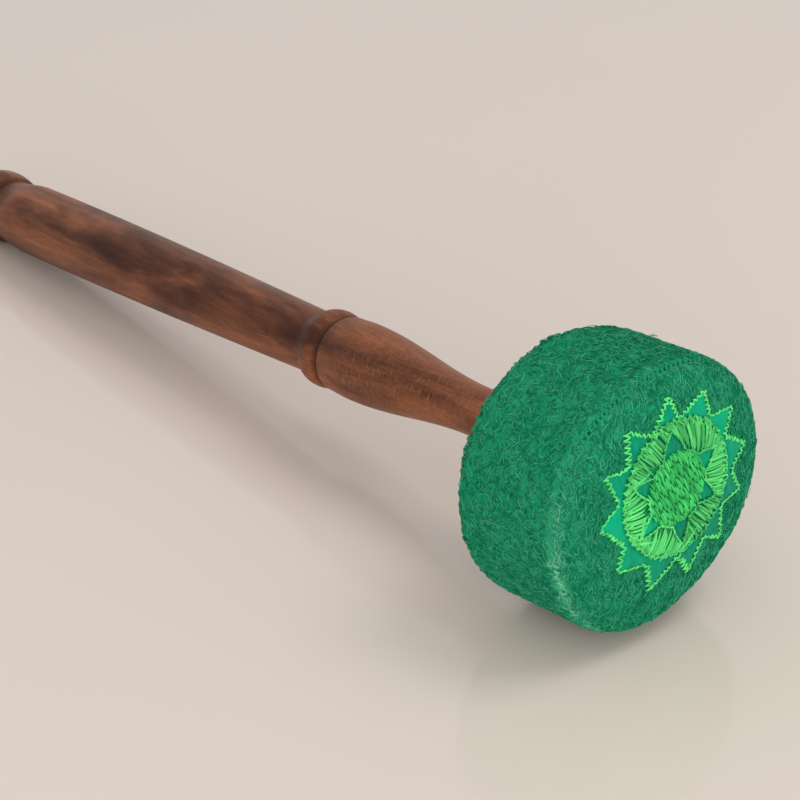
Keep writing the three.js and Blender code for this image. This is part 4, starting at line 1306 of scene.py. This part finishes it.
def centre_stitches(pitch, draw):
    """Stitches of the round centre: long ones in staggered rows on a slant, over short ones across them."""
    turn = math.radians(-65)
    way = np.array([math.cos(turn), math.sin(turn)])
    side = np.array([-way[1], way[0]])
    middle = np.array([LOTUS_X, LOTUS_Z])
    stitch, under_stitch, shortest = 4.4, 3.6, 0.7
    starts, ends = [], []
    rows = int(DISC_RADIUS / pitch) + 1
    for off in np.arange(-rows, rows + 1) * pitch:
        if abs(off) > DISC_RADIUS:
            continue
        half = math.sqrt(DISC_RADIUS**2 - off**2) + draw.normal(0, 0.25)
        here = -half - stitch * draw.uniform(0.0, 1.0)
        while here < half:
            reach = stitch * draw.uniform(0.65, 1.35)
            a, b = max(here, -half), min(here + reach, half)
            here += reach
            if b - a < shortest:
                continue
            slip = draw.normal(0, 0.1, 2)
            starts.append(way * a + side * (off + slip[0]) + middle)
            ends.append(way * (b + 0.15) + side * (off + slip[1]) + middle)
    high = len(starts)
    for off in np.arange(-rows, rows + 1) * pitch:
        half = math.sqrt(max(0.0, (DISC_RADIUS - 0.3) ** 2 - off**2))
        here = -half
        while here < half - shortest:
            after = min(here + under_stitch, half)
            starts.append(side * here + way * off + middle)
            ends.append(side * after + way * off + middle)
            here = after
    return starts, ends, high, len(starts) - high


class MALLET_OT_lotus_centre(Operator):
    """Stitch the lotus's centre in staggered rows"""

    bl_idname = "mallet.lotus_centre"
    bl_label = "Centre"

    def execute(self, context):
        sizes = context.scene.mallet_lotus
        draw = np.random.default_rng(57)
        starts, ends, high, low = centre_stitches(sizes.stitch_pitch / MM, draw)
        lift = SATIN_LIFT + 0.3 + draw.normal(0, 0.04, high)
        tone = np.clip(draw.normal(0.6, 0.16, high), 0, 1)
        # Painted shade: the short stitches below are coloured near the thread's shaded copy
        under_shade = draw.uniform(0.0, 0.1, low)
        breadth = np.clip(draw.normal(1.16, 0.08, high), 0.9, 1.3)
        piece = stitch_lines(
            "centre_stitches", starts, ends, np.concatenate([lift, np.full(low, SATIN_LIFT + 0.05)]),
            np.concatenate([tone, under_shade]), np.concatenate([breadth, np.full(low, 1.1)]),
        )
        run_tree(
            piece, thread_tree(), Width=sizes.thread_width, Arch=0.00008, Dip=0.0004, Ends=0.35,
            Finish=rayon_thread("deep_lime_rayon_thread", sizes.deep_lime),
        )
        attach(piece, "root")
        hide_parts("centre_fill")
        return {"FINISHED"}


# How far the border's middle line runs inside the lotus's outline, and the satin's edge too, in mm
BORDER_INSET = 0.45
SATIN_INSET = 0.35
# The zigzag swings past its half width, because each thread is round at its turns
BORDER_WIDENING = 1.2
BORDER_LIFT = 0.38


def border_stitches(pitch, draw):
    """Zigzag stitches along the lotus's outline, as wide on each flank as it says."""
    widths = [width for petal in PETALS for width in petal[2:]]
    corners = [np.array(polar(radius - BORDER_INSET, angle)) for angle, radius in lotus_corners()]
    points = []
    for first, final, width in zip(corners, corners[1:] + corners[:1], widths):
        reach = np.linalg.norm(final - first)
        way = (final - first) / reach
        across = np.array([-way[1], way[0]])
        count = max(3, round(reach / pitch))
        for i in range(count):
            side = width * BORDER_WIDENING * (-1 if len(points) % 2 else 1)
            slip = across * (side + draw.normal(0, 0.12)) + way * draw.normal(0, 0.13)
            points.append(first + way * reach * (i + 0.5) / count + slip)
    return np.array(points), np.array(points[1:] + points[:1])


class MALLET_OT_lotus_border(Operator):
    """Stitch the zigzag round the petals"""

    bl_idname = "mallet.lotus_border"
    bl_label = "Petal border"

    def execute(self, context):
        sizes = context.scene.mallet_lotus
        draw = np.random.default_rng(73)
        starts, ends = border_stitches(sizes.border_pitch / MM, draw)
        count = len(starts)
        lift = BORDER_LIFT + draw.normal(0, 0.05, count)
        piece = stitch_lines(
            "border_stitches", starts, ends, lift, np.clip(draw.normal(0.75, 0.18, count), 0, 1),
            np.clip(draw.normal(1.0, 0.1, count), 0.8, 1.3),
        )
        run_tree(
            piece, thread_tree(), Width=sizes.thread_width * 0.85, Arch=0.00022, Dip=0.00012, Steps=6,
            Finish=bpy.data.materials["lime_rayon_thread"],
        )
        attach(piece, "root")
        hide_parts("lotus_border")
        return {"FINISHED"}


# Radii in mm from which the satin's painted sheen and its puff belong to the petals
PETAL_START, PUFF_START = 16.6, 17.3
# Direction across the creases, and the painted sheen of the satin under the stitches
CREASE_TURN = math.radians(25)
HIDDEN_SHEEN = 0.3


class MALLET_OT_lotus_satin(Operator):
    """Cut the satin lotus and stretch it over the face"""

    bl_idname = "mallet.lotus_satin"
    bl_label = "Satin"

    def execute(self, context):
        sizes = context.scene.mallet_lotus
        columns, rings = 480, 44
        turn = np.linspace(PETALS[0][0][0], PETALS[0][0][0] + 360, columns, endpoint=False)
        edge = lotus_edge(turn) - SATIN_INSET
        share = np.linspace(1 / rings, 1, rings)
        radius = edge[None] * share[:, None]
        angle = np.radians(turn)[None] + 0 * radius
        x = LOTUS_X + radius * np.cos(angle)
        z = LOTUS_Z + radius * np.sin(angle)
        # Each petal and window puffs up a little between the stitches that hold it down
        inner = ring_inner(np.degrees(angle))
        petal_puff, window_puff = (
            np.clip((radius - start) / rise, 0, 1) * np.clip((end - radius) / fall, 0, 1)
            for start, rise, end, fall in ((PUFF_START, 1.2, edge, 1.6), (DISC_RADIUS, 1.2, inner, 1.2))
        )
        # Straight creases run across the satin
        lean = x * math.cos(CREASE_TURN) + z * math.sin(CREASE_TURN)
        crease = 0.05 * np.sin(lean * 3.1 + 0.7 * np.sin(z * 0.9)) + 0.035 * np.sin(lean * 7.3 + x)
        lift = SATIN_LIFT - 0.2 + 0.42 * petal_puff + 0.4 * window_puff
        lift = lift + crease * np.clip(petal_puff + window_puff, 0, 1)
        # Painted sheen: each petal and window gets its own sheen, which the satin's colour carries
        sheen = np.full(radius.shape, HIDDEN_SHEEN)
        tips = np.array([petal[0][0] for petal in PETALS])
        nearest = np.argmin(np.abs(angle_off(np.degrees(angle)[..., None], tips)), axis=-1)
        outside = radius > PETAL_START
        sheen[outside] = np.array(PETAL_SHEEN)[nearest][outside]
        for middle, half, _, tone in WINDOWS:
            sheen[(np.abs(angle_off(np.degrees(angle), middle)) < half + 4) & ~outside] = tone
        top = on_face(x, z, lift)
        below = on_face(x, z, np.full(x.shape, 0.02))
        count = rings * columns
        index = np.arange(count).reshape(rings, columns)
        rows = [quads_between(index[i], index[i + 1]) for i in range(rings - 1)]
        faces = [face for quads in rows for face in quads.tolist()]
        faces += [face for quads in rows for face in (quads[:, ::-1] + count).tolist()]
        faces += quads_between(index[-1], index[-1] + count).tolist()
        middle = on_face(np.full(2, LOTUS_X), np.full(2, LOTUS_Z), np.array([0.15, 0.02]))
        points = np.vstack([top.reshape(-1, 3), below.reshape(-1, 3), middle])
        first, after = index[0], np.roll(index[0], -1)
        faces += fan(2 * count, first, after) + fan(2 * count + 1, after + count, first + count)
        tones = np.concatenate([sheen.ravel(), sheen.ravel(), [HIDDEN_SHEEN] * 2])
        piece = new_object("satin_lotus", points, faces=faces, sheen=tones)
        dress(piece, polyester_satin(sizes))
        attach(piece, "root")
        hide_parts("lotus_patch")
        return {"FINISHED"}


SEAM_YARN_WIDTH = 0.65
# How deep under the felt's skin the stitches' ends lie
SEAM_YARN_INSET = 0.6


def seam_stitches(name, front, count, reach, slant, draw):
    """Whip stitches across a seam of the felt, each from the disc over to the wall."""
    edge, seam = (FRONT_EDGE, FRONT_SEAM) if front else (BACK_EDGE, BACK_SEAM)
    angle = 2 * math.pi * np.arange(count) / count
    angle = angle - wobble(angle)
    span = math.degrees(reach / edge)
    points, ups = [], []
    for side in (1, -1):
        degrees = seam + side * span * draw.uniform(0.85, 1.15, count)
        radius, station = edge_skin(front, degrees, SEAM_YARN_INSET)
        around = angle + side * slant / radius
        x, z = uneven(radius, around, station)
        points.append(place(x, station, z))
        lean = np.radians(degrees)
        out, back = np.cos(lean), (-1 if front else 1) * np.sin(lean)
        ups.append(turn_vector(out * np.cos(around), back, out * np.sin(around)))
    tone = draw.uniform(-0.35, -0.05, count)
    if front:
        tone = tone + 0.7 * lower_left(angle) * draw.uniform(0.2, 1.1, count)
    return new_stitches(name, points, ups, tone, draw.uniform(0.8, 1.2, count))


class MALLET_OT_seams(Operator):
    """Whip the felt's two seams"""

    bl_idname = "mallet.seams"
    bl_label = "Seams"

    def execute(self, context):
        sizes = context.scene.mallet_felt
        finish = seam_yarn(sizes)
        tree = thread_tree()
        draw = np.random.default_rng(91)
        for name, node_name, front, count, reach, slant, arch in (
            ("front_seam_stitches", "front_seam_thread", True, FRONT_STITCHES, 0.95, 0.4, 0.00018),
            ("back_seam_stitches", "back_seam_thread", False, BACK_STITCHES, 1.3, 0.5, 0.00022),
        ):
            piece = seam_stitches(name, front, count, reach, slant, draw)
            run_tree(
                piece, tree, Width=SEAM_YARN_WIDTH * MM, Arch=arch, Sides=8, Steps=8, Ply_Length=0.0016,
                Finish=finish,
            )
            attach(piece, "root")
            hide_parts(node_name)
        return {"FINISHED"}


class MALLET_OT_padding(Operator):
    """Stuff the head with wadding"""

    bl_idname = "mallet.padding"
    bl_label = "Padding"

    def execute(self, context):
        finish = wool_wadding()
        for name, node_name in (
            ("front_wadding", "front_padding"), ("side_wadding", "side_padding"),
            ("back_wadding", "back_padding"),
        ):
            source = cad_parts[node_name].data
            piece = new_object(
                name, [v.co for v in source.vertices], faces=[tuple(p.vertices) for p in source.polygons]
            )
            weld = piece.modifiers.new("weld", "WELD")
            weld.merge_threshold = 0.00001
            fine = piece.modifiers.new("fine", "SUBSURF")
            fine.subdivision_type = "SIMPLE"
            fine.levels = fine.render_levels = 1
            graph = bpy.context.evaluated_depsgraph_get()
            mesh = bpy.data.meshes.new_from_object(piece.evaluated_get(graph), depsgraph=graph)
            piece.modifiers.clear()
            piece.data = mesh
            dress(piece, finish)
            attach(piece, "root")
            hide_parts(node_name)
        return {"FINISHED"}


class MALLET_OT_core(Operator):
    """Finish the wooden core and its screw and washer"""

    bl_idname = "mallet.core"
    bl_label = "Core"

    def execute(self, context):
        wood, steel = plain_wood(), zinc_steel()
        for name, finish in (("core_drum", wood), ("core_screw", steel), ("core_washer", steel)):
            dress(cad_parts[name], finish)
        return {"FINISHED"}


class MALLET_PT_panel(Panel):
    """Lists the mallet's pieces and their sizes"""

    bl_idname = "MALLET_PT_panel"
    bl_label = "Singing Bowl Mallet"
    bl_space_type = "VIEW_3D"
    bl_region_type = "UI"
    bl_category = "Mallet"

    def draw(self, context):
        for name, group, operators in GROUPS:
            box = self.layout.box()
            for label in group.__annotations__:
                box.prop(getattr(context.scene, name), label)
            for operator in operators:
                box.operator(operator.bl_idname)


GROUPS = (
    ("mallet_stage", MalletStageSizes, (MALLET_OT_stage,)),
    ("mallet_handle", MalletHandleSizes, (MALLET_OT_handle, MALLET_OT_core, MALLET_OT_padding)),
    ("mallet_felt", MalletFeltSizes, (MALLET_OT_felt_cover, MALLET_OT_felt_fibres, MALLET_OT_seams)),
    (
        "mallet_lotus", MalletLotusSizes,
        (MALLET_OT_lotus_satin, MALLET_OT_lotus_ring, MALLET_OT_lotus_centre, MALLET_OT_lotus_border),
    ),
)
OPERATORS = [operator for _, _, operators in GROUPS for operator in operators]


def register():
    for name, group, _ in GROUPS:
        bpy.utils.register_class(group)
        setattr(bpy.types.Scene, name, PointerProperty(type=group))
    for made in (*OPERATORS, MALLET_PT_panel):
        bpy.utils.register_class(made)


def unregister():
    for made in reversed((*OPERATORS, MALLET_PT_panel)):
        bpy.utils.unregister_class(made)
    for name, group, _ in reversed(GROUPS):
        delattr(bpy.types.Scene, name)
        bpy.utils.unregister_class(group)


def main():
    register()
    for operator in OPERATORS:
        group, name = operator.bl_idname.split(".")
        if getattr(getattr(bpy.ops, group), name)() != {"FINISHED"}:
            raise RuntimeError(f"{operator.bl_label} didn't finish")


if __name__ == "__main__":
    main()
